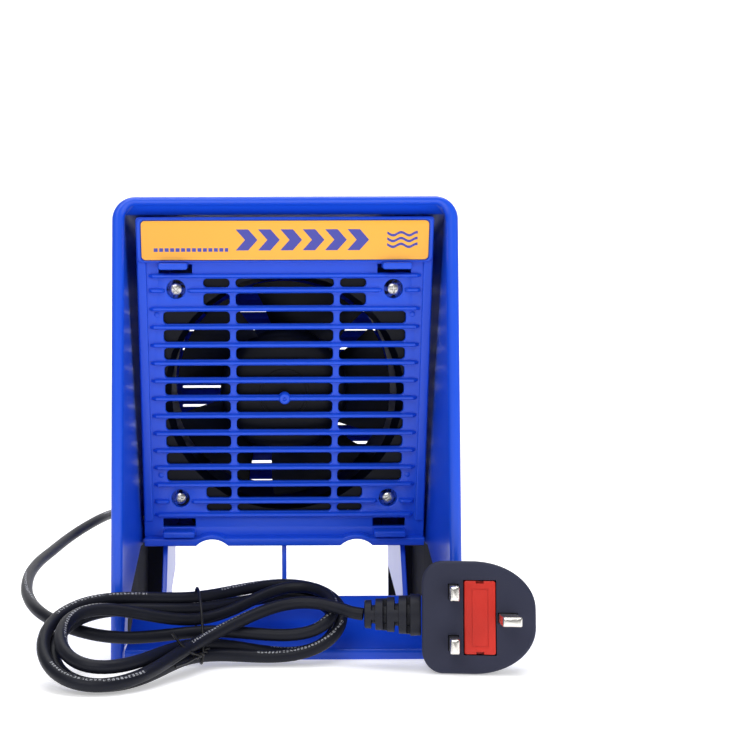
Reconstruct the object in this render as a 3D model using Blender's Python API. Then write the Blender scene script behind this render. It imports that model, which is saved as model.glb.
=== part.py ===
# Bench solder fume extractor: a hooded housing, a tilted louvred panel with an axial fan behind it,
# a rear shell with an outlet grille and switch, and a mains lead tied in a hank with its plug.
# Metres, +Z up, +X to the right, the hood faces -Y. Origin: middle of the footprint, on the bench.
import math

import bmesh
import bpy
import numpy as np
from mathutils import Vector

MM = 0.001
GAP = 0.3 * MM                    # between pieces that touch on the real object

# housing
CASE_HALF_WIDTH = 83 * MM         # at the bench
CASE_TAPER = 1.5 * MM             # how much narrower each side is at the top
CASE_HEIGHT = 218 * MM
CASE_HALF_DEPTH = 80 * MM
CORNER_RADIUS = 11 * MM
WALL = 2.4 * MM
SPLIT_Y = 20 * MM                 # seam between hood shell and rear shell
RIM_SIDE = 5.8 * MM               # width of the rolled rim at the sides
RIM_TOP = 4.2 * MM
FUNNEL_WALL = 2.0 * MM
TRAY_HALF_WIDTH = 76.2 * MM
CHAMBER_FLOOR_Z = 53.6 * MM         # top of the cover that closes the fan chamber from below

# panel and fan, in the tilted frame: x across, y to the back, z up the slope
PANEL_TILT = math.radians(14)
PANEL_CENTRE = Vector((0, -53.3 * MM, 125.3 * MM))
PANEL_HALF_WIDTH = 71 * MM
PANEL_LOW = -76.6 * MM
PANEL_HIGH = 86.3 * MM
PANEL_THICK = 2.6 * MM
FUNNEL_HALF_WIDTH = 72.4 * MM
RIB_PITCH = 8.8 * MM
RIB_END_PITCH = 7.0 * MM
RIB_THICK = 2.2 * MM
RIB_PROUD = 2.4 * MM
RIB_HALF_LENGTH = 65 * MM
RIB_DROP = 1.0 * MM               # how far the ribs and slots sit below the fan's middle
COLUMN_EDGES = ((-58.9, -26.6), (-23.7, 23.7), (26.6, 58.9))    # mm
SHORT_EDGES = ((-39.3, -26.6), (-23.7, 23.7), (26.6, 39.3))     # mm
SCREW_PITCH = 104.8 * MM
LABEL_LOW = 65.2 * MM
FAN_SIZE = 119 * MM
FAN_DEPTH = 38 * MM
FAN_FRONT = PANEL_THICK + GAP
FAN_BORE = 56.5 * MM
BLADE_TIP = 54.5 * MM
HUB_RADIUS = 32 * MM
BLADE_COUNT = 5

# rear
REAR_WALL_Y = 71.3 * MM
GRILLE_Y = 74.0 * MM
GRILLE_THICK = 2.0 * MM
GRILLE_HALF_WIDTH = 69 * MM
GRILLE_LOW = 50.5 * MM
GRILLE_HIGH = 208 * MM
PILLARS = ((-75, 62), (75, 62), (-74, 194), (74, 194))          # x, z in mm
SWITCH_AT = (45 * MM, 66 * MM)
GLAND_AT = (-48 * MM, 60 * MM)
GLAND_TIP_Y = 104 * MM

# mains lead
CORD_DIAMETER = 5.7 * MM
LEAD_ROUTE = (                    # from the gland, round behind the case and forward on its left, in mm
    (-48, 104.3, 60), (-48, 114, 59.8), (-52.5, 128, 59.4), (-64, 138.5, 59), (-79, 140, 58.8),
    (-93, 132, 59), (-101, 118, 59.6), (-105.5, 98, 59.4), (-110, 74, 57.6), (-117, 54, 53.2),
    (-122.8, 36, 48.6), (-127, 12, 43.8), (-129.9, -13, 39.6), (-129.8, -36, 35.4), (-126, -60, 30.6),
    (-119.6, -79, 26.6), (-111.5, -93, 23.8))
TAIL_ROUTE = ((25.4, -94.4, 25.4), (29.8, -97.1, 24.6), (34.0, -98.3, 24.0))
HANK_LOOP = (                     # the outermost turn of the hank, counter-clockwise from above, in mm
    (-39, -100, 6.0), (0, -95.5, 4.2), (17, -95, 9), (26, -87.5, 19), (23.5, -73, 26.5), (13, -60, 31),
    (-4, -56, 32.5), (-22, -66, 31), (-42, -81, 29), (-66, -89, 30.5), (-88, -96, 30.5), (-101, -109, 25),
    (-104, -127, 16.5), (-98, -143, 8.5), (-86, -153, 4), (-70, -152.5, 3.1), (-55, -131, 4))
HANK_WAIST = 8                    # the loop's point across the waist from its first
HANK_HALF_THICK = 3.2 * MM

# plug
PLUG_FACE = Vector((82.4 * MM, -118 * MM, 0.5 * MM))
PLUG_YAW = math.radians(-8)
PLUG_LEAN = math.radians(-4)
PLUG_HALF = 24.5 * MM
PLUG_DEPTH = 22 * MM
PIN_DROP = 11.1 * MM              # live and neutral each side of the middle


def material(name, colour, roughness, metallic=0.0):
    mat = bpy.data.materials.new(name)
    mat.use_nodes = True
    shader = mat.node_tree.nodes["Principled BSDF"]
    shader.inputs["Base Color"].default_value = (*colour, 1)
    shader.inputs["Roughness"].default_value = roughness
    shader.inputs["Metallic"].default_value = metallic
    return mat


def place(name, mesh, mat, parent=None):
    """Make an object from a mesh, with its faces turned outwards."""
    work = bmesh.new()
    work.from_mesh(mesh)
    bmesh.ops.recalc_face_normals(work, faces=work.faces)
    work.to_mesh(mesh)
    work.free()
    obj = bpy.data.objects.new(name, mesh)
    bpy.context.scene.collection.objects.link(obj)
    mesh.materials.append(mat)
    obj.parent = parent
    return obj


def solid(name, points, faces, mat, parent=None, smooth=None):
    mesh = bpy.data.meshes.new(name)
    mesh.from_pydata([tuple(p) for p in points], [], faces)
    obj = place(name, mesh, mat, parent)
    if smooth is not None:
        mesh.shade_smooth()
        mesh.set_sharp_from_angle(angle=math.radians(smooth))
    return obj


def box(name, low, high, mat, parent=None):
    (x0, y0, z0), (x1, y1, z1) = low, high
    points = [(x, y, z) for x in (x0, x1) for y in (y0, y1) for z in (z0, z1)]
    faces = [(0, 1, 3, 2), (4, 6, 7, 5), (0, 4, 5, 1), (2, 3, 7, 6), (0, 2, 6, 4), (1, 5, 7, 3)]
    return solid(name, points, faces, mat, parent)


def loft(name, rings, mat, parent=None, closed=True, smooth=40):
    """Join rings of equally many points, and cap both ends."""
    count = len(rings[0])
    points = [p for ring in rings for p in ring]
    faces = []
    for r in range(len(rings) - 1):
        for i in range(count if closed else count - 1):
            j = (i + 1) % count
            faces.append((r * count + i, r * count + j, (r + 1) * count + j, (r + 1) * count + i))
    faces.append(tuple(range(count)))
    faces.append(tuple(range((len(rings) - 1) * count, len(rings) * count)))
    return solid(name, points, faces, mat, parent, smooth)


def prism_y(name, outline, y0, y1, mat, parent=None):
    """Extrude an (x, z) outline from y0 to y1."""
    return loft(name, [[(x, y, z) for x, z in outline] for y in (y0, y1)], mat, parent, smooth=30)


def prism_x(name, outline, x0, x1, mat, parent=None):
    """Extrude a (y, z) outline from x0 to x1."""
    return loft(name, [[(x, y, z) for y, z in outline] for x in (x0, x1)], mat, parent, smooth=30)


def turned(name, profile, mat, parent=None, axis="Y", centre=(0, 0, 0), sides=24, smooth=35):
    """Turn a closed (radius, height) profile about an axis; a radius of 0 is a pole."""
    cx, cy, cz = centre
    points = []
    rings = []
    for radius, height in profile:
        ring = []
        for k in range(sides if radius > 0 else 1):
            a = 2 * math.pi * k / sides
            u, v = radius * math.cos(a), radius * math.sin(a)
            spot = (u, height, v) if axis == "Y" else (height, u, v)
            ring.append(len(points))
            points.append((cx + spot[0], cy + spot[1], cz + spot[2]))
        rings.append(ring)
    faces = []
    poles = sum(1 for ring in rings if len(ring) == 1)
    pairs = list(zip(rings, rings[1:]))
    if poles == 0:
        pairs.append((rings[-1], rings[0]))
    for a, b in pairs:
        for k in range(sides):
            j = (k + 1) % sides
            if len(a) == 1 and len(b) > 1:
                faces.append((a[0], b[k], b[j]))
            elif len(b) == 1 and len(a) > 1:
                faces.append((a[k], a[j], b[0]))
            elif len(a) > 1:
                faces.append((a[k], a[j], b[j], b[k]))
    return solid(name, points, faces, mat, parent, smooth)


def rounded(width, height, radius, centre=(0, 0), steps=4):
    """Outline of a rounded rectangle, counter-clockwise."""
    cx, cz = centre
    outline = []
    for sx, sz, start in ((1, 1, 0), (-1, 1, 90), (-1, -1, 180), (1, -1, 270)):
        for k in range(steps + 1):
            a = math.radians(start + 90 * k / steps)
            outline.append((cx + sx * (width / 2 - radius) + radius * math.cos(a),
                            cz + sz * (height / 2 - radius) + radius * math.sin(a)))
    return outline


def triangulated(obj):
    """Twisted faces cut into flat triangles, so that their surface is exact."""
    work = bmesh.new()
    work.from_mesh(obj.data)
    bmesh.ops.triangulate(work, faces=work.faces)
    work.to_mesh(obj.data)
    work.free()
    return obj


def combine(target, operation, *tools):
    """Boolean modifiers on target; each tool is kept as a hidden guide."""
    for tool in tools:
        mod = target.modifiers.new(operation.lower() + "_" + tool.name, "BOOLEAN")
        mod.operation = operation
        mod.solver = "EXACT"
        mod.object = tool
        tool.hide_render = True
        tool.display_type = "WIRE"
    return target


def merged(name, pieces, mat, parent=None):
    """Several separate closed shapes in one mesh, for use as one cutter."""
    mesh = bpy.data.meshes.new(name)
    work = bmesh.new()
    for piece in pieces:
        work.from_mesh(piece.data)
        bpy.data.objects.remove(piece)
    work.to_mesh(mesh)
    work.free()
    return place(name, mesh, mat, parent)


def smooth_route(points, spacing, closed=False):
    """Points at an even spacing along a Catmull-Rom curve through the given ones (mm in, metres out)."""
    p = np.array(points, float) * MM
    p = np.vstack([p[-1], p, p[:2]]) if closed else np.vstack([2 * p[0] - p[1], p, 2 * p[-1] - p[-2]])
    t = np.linspace(0, 1, 24, endpoint=False)[:, None]
    parts = []
    for k in range(1, len(p) - 2):
        a, b, c, d = p[k - 1:k + 3]
        parts.append(0.5 * (2 * b + (c - a) * t + (2 * a - 5 * b + 4 * c - d) * t ** 2
                            + (3 * b - a - 3 * c + d) * t ** 3))
    dense = np.vstack(parts + [p[-2:-1]])
    run = np.concatenate([[0], np.cumsum(np.linalg.norm(np.diff(dense, axis=0), axis=1))])
    count = max(2, int(round(run[-1] / spacing)))
    at = np.linspace(0, run[-1], count + 1)
    even = np.column_stack([np.interp(at, run, dense[:, i]) for i in range(3)])
    return even[:-1] if closed else even


def tube(name, points, diameter, mat, spacing, resolution=2):
    """A round lead as a poly curve with a bevel and filled caps."""
    route = smooth_route(points, spacing)
    curve = bpy.data.curves.new(name, "CURVE")
    curve.dimensions = "3D"
    curve.bevel_depth = diameter / 2
    curve.bevel_resolution = resolution
    curve.use_fill_caps = True
    spline = curve.splines.new("POLY")
    spline.points.add(len(route) - 1)
    for point, spot in zip(spline.points, route):
        point.co = (*spot, 1)
    curve.materials.append(mat)
    obj = bpy.data.objects.new(name, curve)
    bpy.context.scene.collection.objects.link(obj)
    return obj


def frame_empty(name, spot, angles):
    """An empty that carries a tilted or moving group."""
    empty = bpy.data.objects.new(name, None)
    empty.location = spot
    empty.rotation_euler = angles
    empty.empty_display_size = 0.02
    bpy.context.scene.collection.objects.link(empty)
    return empty


# ---- housing -------------------------------------------------------------------------------------

def half_width(z):
    return CASE_HALF_WIDTH - CASE_TAPER * z / CASE_HEIGHT


def panel_y(z):
    """Depth of the panel's front surface at height z."""
    return PANEL_CENTRE.y - math.tan(PANEL_TILT) * (z - PANEL_CENTRE.z)


def funnel_end(z):
    """Rear edge of the hood's inner wall: behind the panel, and a diagonal below it."""
    corner = 50.7 * MM
    if z >= corner:
        return panel_y(z) + 4 * MM
    return max(-36 * MM - (corner - z) * 1.13, -74 * MM)


def funnel_half(z):
    """Half width between the inner walls at their rear edge; they stay in one plane as they shorten."""
    front, half_in_front = -CASE_HALF_DEPTH + 3 * MM, CASE_HALF_WIDTH - RIM_SIDE
    lean = (half_in_front - FUNNEL_HALF_WIDTH) / (funnel_end(52 * MM) - front)
    return max(FUNNEL_HALF_WIDTH, half_in_front - lean * (funnel_end(z) - front))


def arch(side, top, depth, from_z=0.0, extra=None):
    """Points over the arch of the case: up the left side, over the top, down the right.
    side and top are insets from the outer surface; depth is a number or a rule of z.
    With extra, the sides follow the inner walls' rear edge, that much further out."""
    levels = [from_z, 12 * MM, 26 * MM, 38 * MM, 50 * MM, 51.5 * MM, 90 * MM, 150 * MM]
    levels = [z for z in levels if z >= from_z]
    top_z = CASE_HEIGHT - CORNER_RADIUS
    rise_x, rise_z = CORNER_RADIUS - side, CORNER_RADIUS - top
    left = [(-(half_width(z) - side if extra is None else funnel_half(z) + extra), z)
            for z in levels + [top_z]]
    centre_x = -left[-1][0] - max(rise_x, 0)
    corner = []
    for k in range(1, 7):
        a = math.radians(90 * k / 6)
        corner.append((-(centre_x + max(rise_x, 0) * math.cos(a)), top_z + rise_z * math.sin(a)))
    half = left + corner + [(-30 * MM, CASE_HEIGHT - top)]
    outline = half + [(-x, z) for x, z in reversed(half)]
    return [(x, depth(z) if callable(depth) else depth, z) for x, z in outline]


def arch_shell(name, sections, mat):
    """Sweep a closed wall section over the arch; its two feet stand on the bench."""
    rings = [arch(*section) for section in sections]
    count = len(rings[0])
    points = [p for ring in rings for p in ring]
    faces = []
    for r in range(len(rings)):
        s = (r + 1) % len(rings)
        for i in range(count - 1):
            faces.append((r * count + i, r * count + i + 1, s * count + i + 1, s * count + i))
    faces.append(tuple(r * count for r in range(len(rings))))
    faces.append(tuple(r * count + count - 1 for r in range(len(rings))))
    return solid(name, points, faces, mat, smooth=30)


def pillar(name, x, z, y0, y1, mat):
    """A round screw post with a web to the side wall."""
    post = turned(name, ((0, y0), (4.6 * MM, y0), (4.6 * MM, y1), (0, y1)), mat,
                  centre=(x, 0, z), sides=16)
    side = math.copysign(1, x)
    low, high = sorted((x, side * (half_width(z) - WALL / 2)))
    web = box(name + "_web", (low, y0 + 0.2 * MM, z - 1.1 * MM), (high, y1 - 0.2 * MM, z + 1.1 * MM), mat)
    return post, web


def hood_shell(mat):
    """Outer wall, rolled rim and funnel-shaped inner wall, in one section swept over the arch."""
    front = -CASE_HALF_DEPTH
    end_side = CASE_HALF_WIDTH - FUNNEL_HALF_WIDTH
    sections = (
        (0, 0, SPLIT_Y), (0, 0, front + 3 * MM), (0.8 * MM, 0.7 * MM, front + 0.9 * MM),
        (RIM_SIDE / 2, RIM_TOP / 2, front), (RIM_SIDE - 0.8 * MM, RIM_TOP - 0.7 * MM, front + 0.9 * MM),
        (RIM_SIDE, RIM_TOP, front + 3 * MM),
        (end_side, 7.1 * MM, funnel_end, 0.0, 0.0),
        (end_side - FUNNEL_WALL, 7.1 * MM - FUNNEL_WALL, funnel_end, 0.0, FUNNEL_WALL),
        (4.4 * MM, 3.6 * MM, front + 4.6 * MM), (WALL, WALL, front + 4.6 * MM), (WALL, WALL, SPLIT_Y))
    shell = arch_shell("hood_shell", sections, mat)
    for k, (x, z) in enumerate(PILLARS):
        post, web = pillar(f"hood_post_{k}", x * MM, z * MM, -2 * MM, SPLIT_Y, mat)
        hole = turned(f"hood_hole_{k}", ((0, 4 * MM), (1.9 * MM, 4 * MM), (1.9 * MM, 30 * MM), (0, 30 * MM)),
                      mat, centre=(x * MM, 0, z * MM), sides=12)
        combine(shell, "UNION", web, post)
        combine(shell, "DIFFERENCE", hole)
    return shell


def rear_shell(mat):
    """Outer wall behind the seam, with a rear wall that frames the outlet grille and closes the legs."""
    start, rear = SPLIT_Y + GAP, CASE_HALF_DEPTH
    sections = ((0, 0, start), (0, 0, rear - 2 * MM), (1.2 * MM, 1.2 * MM, rear),
                (WALL, WALL, rear - 0.6 * MM), (WALL, WALL, start))
    shell = arch_shell("rear_shell", sections, mat)
    low = 46 * MM
    ring = [(x, z) for x, _, z in arch(WALL / 2, WALL / 2, 0.0, low)]
    wall = prism_y("rear_wall", ring, REAR_WALL_Y, REAR_WALL_Y + WALL, mat)
    window = box("rear_window", (-62 * MM, 60 * MM, 53 * MM), (62 * MM, 90 * MM, 203 * MM), mat)
    combine(wall, "DIFFERENCE", window)
    ends = [box("rear_foot", (min(side * 66, side * 81.5) * MM, REAR_WALL_Y, 0.5 * MM),
                (max(side * 66, side * 81.5) * MM, REAR_WALL_Y + WALL, 47 * MM), mat) for side in (-1, 1)]
    combine(shell, "UNION", wall, *ends)
    for k, (x, z) in enumerate(PILLARS):
        post, web = pillar(f"rear_post_{k}", x * MM, z * MM, start, REAR_WALL_Y + 1 * MM, mat)
        head_way = turned(f"rear_head_way_{k}", ((0, 30 * MM), (3.2 * MM, 30 * MM), (3.2 * MM, 90 * MM),
                                                 (0, 90 * MM)), mat, centre=(x * MM, 0, z * MM), sides=12)
        shank_way = turned(f"rear_shank_way_{k}", ((0, 10 * MM), (1.9 * MM, 10 * MM), (1.9 * MM, 40 * MM),
                                                   (0, 40 * MM)), mat, centre=(x * MM, 0, z * MM), sides=12)
        combine(shell, "UNION", web, post)
        combine(shell, "DIFFERENCE", head_way, shank_way)
    return shell


def base_frame(mat):
    """Ramp tray with its ledge, two leg walls and the thin centre post."""
    sheet = 2.4 * MM
    top = [(-79.6, 3.6), (-78.8, 4.8), (-76.5, 5.2), (-70, 6.0), (-60, 8.4), (-50, 12.4), (-42, 17.6),
           (-37, 22.6), (-35, 24.0), (-32.6, 24.0)]
    under = [(-32.6, 21.6), (-34.4, 21.4), (-40.4, 15.4), (-49.2, 9.9), (-59.5, 6.0), (-70, 3.5),
             (-76.4, 2.6), (-76.6, 0), (-79.6, 0)]
    profile = [(y * MM, z * MM) for y, z in top + under]
    tray = prism_x("base_frame", profile, -TRAY_HALF_WIDTH, TRAY_HALF_WIDTH, mat)
    corners = ((-31.4, 50.9), (-34, 47.3), (-42.5, 27), (-47.5, 12), (-33.5, 15), (19.4, 34), (19.4, 50.9))
    leg_side = [(y * MM, z * MM) for y, z in corners]
    for name, x in (("leg_left", -61.9 * MM), ("leg_right", 59.5 * MM)):
        leg = prism_x(name, leg_side, x, x + sheet, mat)
        combine(tray, "UNION", leg)
    post = box("centre_post", (-1.15 * MM, -36 * MM, 22.5 * MM), (1.15 * MM, -33.2 * MM, 50.2 * MM), mat)
    return combine(tray, "UNION", post)


def bottom_cover(mat):
    """Plate that closes the fan chamber from below, with a recess behind each notch of the panel."""
    half = CASE_HALF_WIDTH - WALL - 1.0 * MM
    low = CHAMBER_FLOOR_Z - 2.2 * MM
    plate = box("bottom_cover", (-half, -30.5 * MM, low), (half, REAR_WALL_Y - GAP, CHAMBER_FLOOR_Z), mat)
    recesses = [box("recess", (side * 36.6 * MM - 9 * MM, -40 * MM, 0), (side * 36.6 * MM + 9 * MM, 3 * MM, 90 * MM),
                    mat) for side in (-1, 1)]
    return combine(plate, "DIFFERENCE", merged("cover_recesses", recesses, mat))


# ---- panel ---------------------------------------------------------------------------------------

def rib_levels():
    end = 6 * RIB_PITCH + RIB_END_PITCH
    return [z - RIB_DROP for z in [-end] + [k * RIB_PITCH for k in range(-6, 7)] + [end]]


def slot_boxes(mat, levels, thickness_from, thickness_to, parent):
    """Box cutters for the slots between the ribs."""
    cutters = []
    last = len(levels) - 2
    for row in range(len(levels) - 1):
        low, high = levels[row] + 1.4 * MM, levels[row + 1] - 1.4 * MM
        edges = SHORT_EDGES if row < 2 or row > last - 2 else COLUMN_EDGES
        for x0, x1 in edges:
            cutters.append(box("slot", (x0 * MM, thickness_from, low), (x1 * MM, thickness_to, high), mat))
    return merged("panel_slots", cutters, mat, parent)


def front_panel(mat, tilted):
    """Louvred plate with ribs, label bar, filter clips and the bottom lip."""
    plate = box("front_panel", (-PANEL_HALF_WIDTH, 0, PANEL_LOW), (PANEL_HALF_WIDTH, PANEL_THICK, PANEL_HIGH),
                mat, tilted)
    levels = rib_levels()
    combine(plate, "DIFFERENCE", slot_boxes(mat, levels, -5 * MM, 8 * MM, tilted))
    ribs = [box("rib", (-RIB_HALF_LENGTH, -RIB_PROUD, z - RIB_THICK / 2),
                (RIB_HALF_LENGTH, 1 * MM, z + RIB_THICK / 2), mat) for z in levels]
    bar = box("bar", (-PANEL_HALF_WIDTH + 0.6 * MM, -RIB_PROUD, LABEL_LOW),
              (PANEL_HALF_WIDTH - 0.6 * MM, 1 * MM, PANEL_HIGH - 0.4 * MM), mat)
    lip = box("lip", (-PANEL_HALF_WIDTH + 0.4 * MM, -5 * MM, PANEL_LOW + 0.3 * MM),
              (PANEL_HALF_WIDTH - 0.4 * MM, 1 * MM, PANEL_LOW + 4.6 * MM), mat)
    clips = []
    for side in (-1, 1):
        for low, high in ((62.4, 64.6), (-71.2, -68.2)):
            x0, x1 = sorted((side * 46.2 * MM, side * 60.4 * MM))
            clips.append(box("clip", (x0, -7 * MM, low * MM), (x1, 1 * MM, high * MM), mat))
    combine(plate, "UNION", merged("panel_relief", ribs + [bar, lip] + clips, mat, tilted))
    holes = [box("tab_hole", (side * 53.2 * MM - 8.2 * MM, -3 * MM, -67.6 * MM),
                 (side * 53.2 * MM + 8.2 * MM, 8 * MM, -63.0 * MM), mat) for side in (-1, 1)]
    combine(plate, "DIFFERENCE", merged("panel_holes", holes, mat, tilted))
    notches = [turned("notch", ((0, -9 * MM), (11 * MM, -9 * MM), (11 * MM, 9 * MM), (0, 9 * MM)), mat,
                      centre=(side * 36.6 * MM, 0, PANEL_LOW - 7.6 * MM), sides=32) for side in (-1, 1)]
    combine(plate, "DIFFERENCE", merged("panel_notches", notches, mat, tilted))
    label_seat = box("label_seat", (-68.6 * MM, -5 * MM, LABEL_LOW + 0.9 * MM),
                     (68.6 * MM, -RIB_PROUD + 0.9 * MM, PANEL_HIGH - 1.3 * MM), mat, tilted)
    combine(plate, "DIFFERENCE", label_seat)
    for k, (x, z) in enumerate(screw_spots()):
        way = turned(f"screw_way_{k}", ((0, -6 * MM), (4.6 * MM, -6 * MM), (4.6 * MM, 1.0 * MM),
                                        (2.2 * MM, 1.0 * MM), (2.2 * MM, 8 * MM), (0, 8 * MM)),
                     mat, tilted, centre=(x, 0, z), sides=20)
        combine(plate, "DIFFERENCE", way)
    boss = turned("centre_boss", ((0, -RIB_PROUD - 0.3 * MM), (2.5 * MM, -RIB_PROUD - 0.3 * MM),
                                  (2.5 * MM, 1 * MM), (0, 1 * MM)), mat, tilted,
                  centre=(0, 0, -RIB_DROP), sides=16)
    return combine(plate, "UNION", boss)


def label_plate(mat, tilted):
    outline = rounded(136.6 * MM, 18.2 * MM, 1.8 * MM, (0, (LABEL_LOW + PANEL_HIGH) / 2 - 0.2 * MM), 3)
    back = -RIB_PROUD + 0.9 * MM - GAP
    return prism_y("label_plate", outline, back - 0.5 * MM, back, mat, tilted)


def screw_spots():
    half = SCREW_PITCH / 2
    return [(-half, -half), (half, -half), (-half, half), (half, half)]


# ---- fan -----------------------------------------------------------------------------------------

def fan_frame(mat, tilted):
    """Square frame with a round throat, rear motor plate on four struts, and the bearing tube."""
    y0, y1 = FAN_FRONT, FAN_FRONT + FAN_DEPTH
    frame = prism_y("fan_frame", rounded(FAN_SIZE, FAN_SIZE, 6 * MM), y0, y1, mat, tilted)
    throat = turned("throat", ((0, y0 - 5 * MM), (FAN_BORE + 5 * MM, y0 - 5 * MM), (FAN_BORE, y0 + 6 * MM),
                               (FAN_BORE, y1 + 5 * MM), (0, y1 + 5 * MM)), mat, tilted, sides=36)
    combine(frame, "DIFFERENCE", throat)
    for side in range(4):
        waist = box(f"waist_{side}", (-38 * MM, y0 + 6 * MM, 58.1 * MM), (38 * MM, y1 - 6 * MM, 70 * MM),
                    mat, tilted)
        waist.rotation_euler = (0, math.radians(90 * side), 0)
        combine(frame, "DIFFERENCE", waist)
    for k, (x, z) in enumerate(screw_spots()):
        hole = turned(f"frame_hole_{k}", ((0, y0 - 5 * MM), (2.3 * MM, y0 - 5 * MM), (2.3 * MM, y1 + 5 * MM),
                                          (0, y1 + 5 * MM)), mat, tilted, centre=(x, 0, z), sides=12)
        combine(frame, "DIFFERENCE", hole)
    for k, angle in enumerate((45, 135, 225, 315)):
        strut = box(f"strut_{k}", (24 * MM, y1 - 4 * MM, -3 * MM), (60 * MM, y1 - 0.2 * MM, 3 * MM), mat,
                    tilted)
        strut.rotation_euler = (0, math.radians(angle), 0)
        combine(frame, "UNION", strut)
    plate = turned("motor_plate", ((6 * MM, y1 - 21 * MM), (8 * MM, y1 - 21 * MM), (8 * MM, y1 - 3 * MM),
                                   (31 * MM, y1 - 3 * MM), (31 * MM, y1 - 0.1 * MM), (6 * MM, y1 - 0.1 * MM)),
                   mat, tilted, sides=32)
    return combine(frame, "UNION", plate)


def impeller(mat, spin):
    """Hub cup open to the back, with swept blades."""
    hub = turned("impeller", ((0, 6 * MM), (HUB_RADIUS - 3 * MM, 6 * MM), (HUB_RADIUS, 8.5 * MM),
                              (HUB_RADIUS, 34 * MM), (HUB_RADIUS - 2.4 * MM, 34 * MM),
                              (HUB_RADIUS - 2.4 * MM, 9 * MM), (0, 9 * MM)), mat, spin, sides=32)
    for k in range(BLADE_COUNT):
        rings = []
        for radius in (HUB_RADIUS - 1.2 * MM, 43 * MM, BLADE_TIP):
            ring = []
            pitch = math.radians(38 - 10 * (radius - HUB_RADIUS) / (BLADE_TIP - HUB_RADIUS))
            spread = math.radians(56) * 0.5
            for edge, lift in ((-1, -0.5), (0, -0.5), (1, -0.5), (1, 0.5), (0, 0.5), (-1, 0.5)):
                a = math.radians(360 * k / BLADE_COUNT) + edge * spread
                y = 20 * MM + edge * math.tan(pitch) * spread * 34 * MM * 0.8 + lift * 1.8 * MM
                ring.append((radius * math.cos(a), y, radius * math.sin(a)))
            rings.append(ring)
        combine(hub, "UNION", triangulated(loft(f"blade_{k}", rings, mat, spin)))
    return hub


def motor(steel, brass, copper, iron, tilted, spin):
    """Ring, shaft, bearings, laminated core and its windings."""
    plate = FAN_FRONT + FAN_DEPTH
    turned("rotor_ring", ((26 * MM, 11 * MM), (29.2 * MM, 11 * MM), (29.2 * MM, 33 * MM), (26 * MM, 33 * MM)),
           iron, spin, sides=32)
    turned("fan_shaft", ((0, 9.3 * MM), (2 * MM, 9.3 * MM), (2 * MM, 38 * MM), (0, 38 * MM)), steel, spin,
           sides=16)
    for name, y in (("bearing_front", plate - 20.5 * MM), ("bearing_rear", plate - 8 * MM)):
        turned(name, ((2.3 * MM, y), (5.7 * MM, y), (5.7 * MM, y + 4 * MM), (2.3 * MM, y + 4 * MM)), brass,
               tilted, sides=20)
    core = turned("stator_core", ((8.3 * MM, 20 * MM), (24.6 * MM, 20 * MM), (24.6 * MM, 30 * MM),
                                  (8.3 * MM, 30 * MM)), iron, tilted, sides=32)
    for k in range(4):
        slot = box(f"core_slot_{k}", (19 * MM, 15 * MM, -1.2 * MM), (30 * MM, 35 * MM, 1.2 * MM), iron, tilted)
        slot.rotation_euler = (0, math.radians(45 + 90 * k), 0)
        combine(core, "DIFFERENCE", slot)
    for name, y in (("winding_front", 14.6 * MM), ("winding_rear", 30.3 * MM)):
        turned(name, ((10.5 * MM, y), (20 * MM, y), (22 * MM, y + 2 * MM), (22 * MM, y + 4.2 * MM),
                      (20 * MM, y + 5.1 * MM), (10.5 * MM, y + 5.1 * MM)), copper, tilted, sides=24)


def terminal_block(mat, tilted):
    half = FAN_SIZE / 2
    return box("fan_terminal_block", (half + GAP, 26 * MM, -22 * MM), (half + 6.5 * MM, 36 * MM, -6 * MM), mat,
               tilted)


def pan_screw(name, spot, reach, mat, parent=None, side=-1, head=2.9 * MM, shank=1.7 * MM):
    """Pan-head screw along Y; its head's seat is at spot and the head lies on that side of it."""
    x, seat, z = spot
    return turned(name, ((0, seat + side * 2.0 * MM), (head * 0.7, seat + side * 1.9 * MM),
                         (head, seat + side * 0.9 * MM), (head, seat), (shank, seat),
                         (shank, seat - side * reach), (0, seat - side * reach)), mat, parent,
                  centre=(x, 0, z), sides=12)


def hex_nut(name, x, y, z, mat, parent):
    nut = turned(name, ((2.05 * MM, y), (3.9 * MM, y), (3.9 * MM, y + 2.8 * MM), (2.05 * MM, y + 2.8 * MM)),
                 mat, parent, centre=(x, 0, z), sides=6)
    return nut


# ---- rear fittings -------------------------------------------------------------------------------

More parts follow.
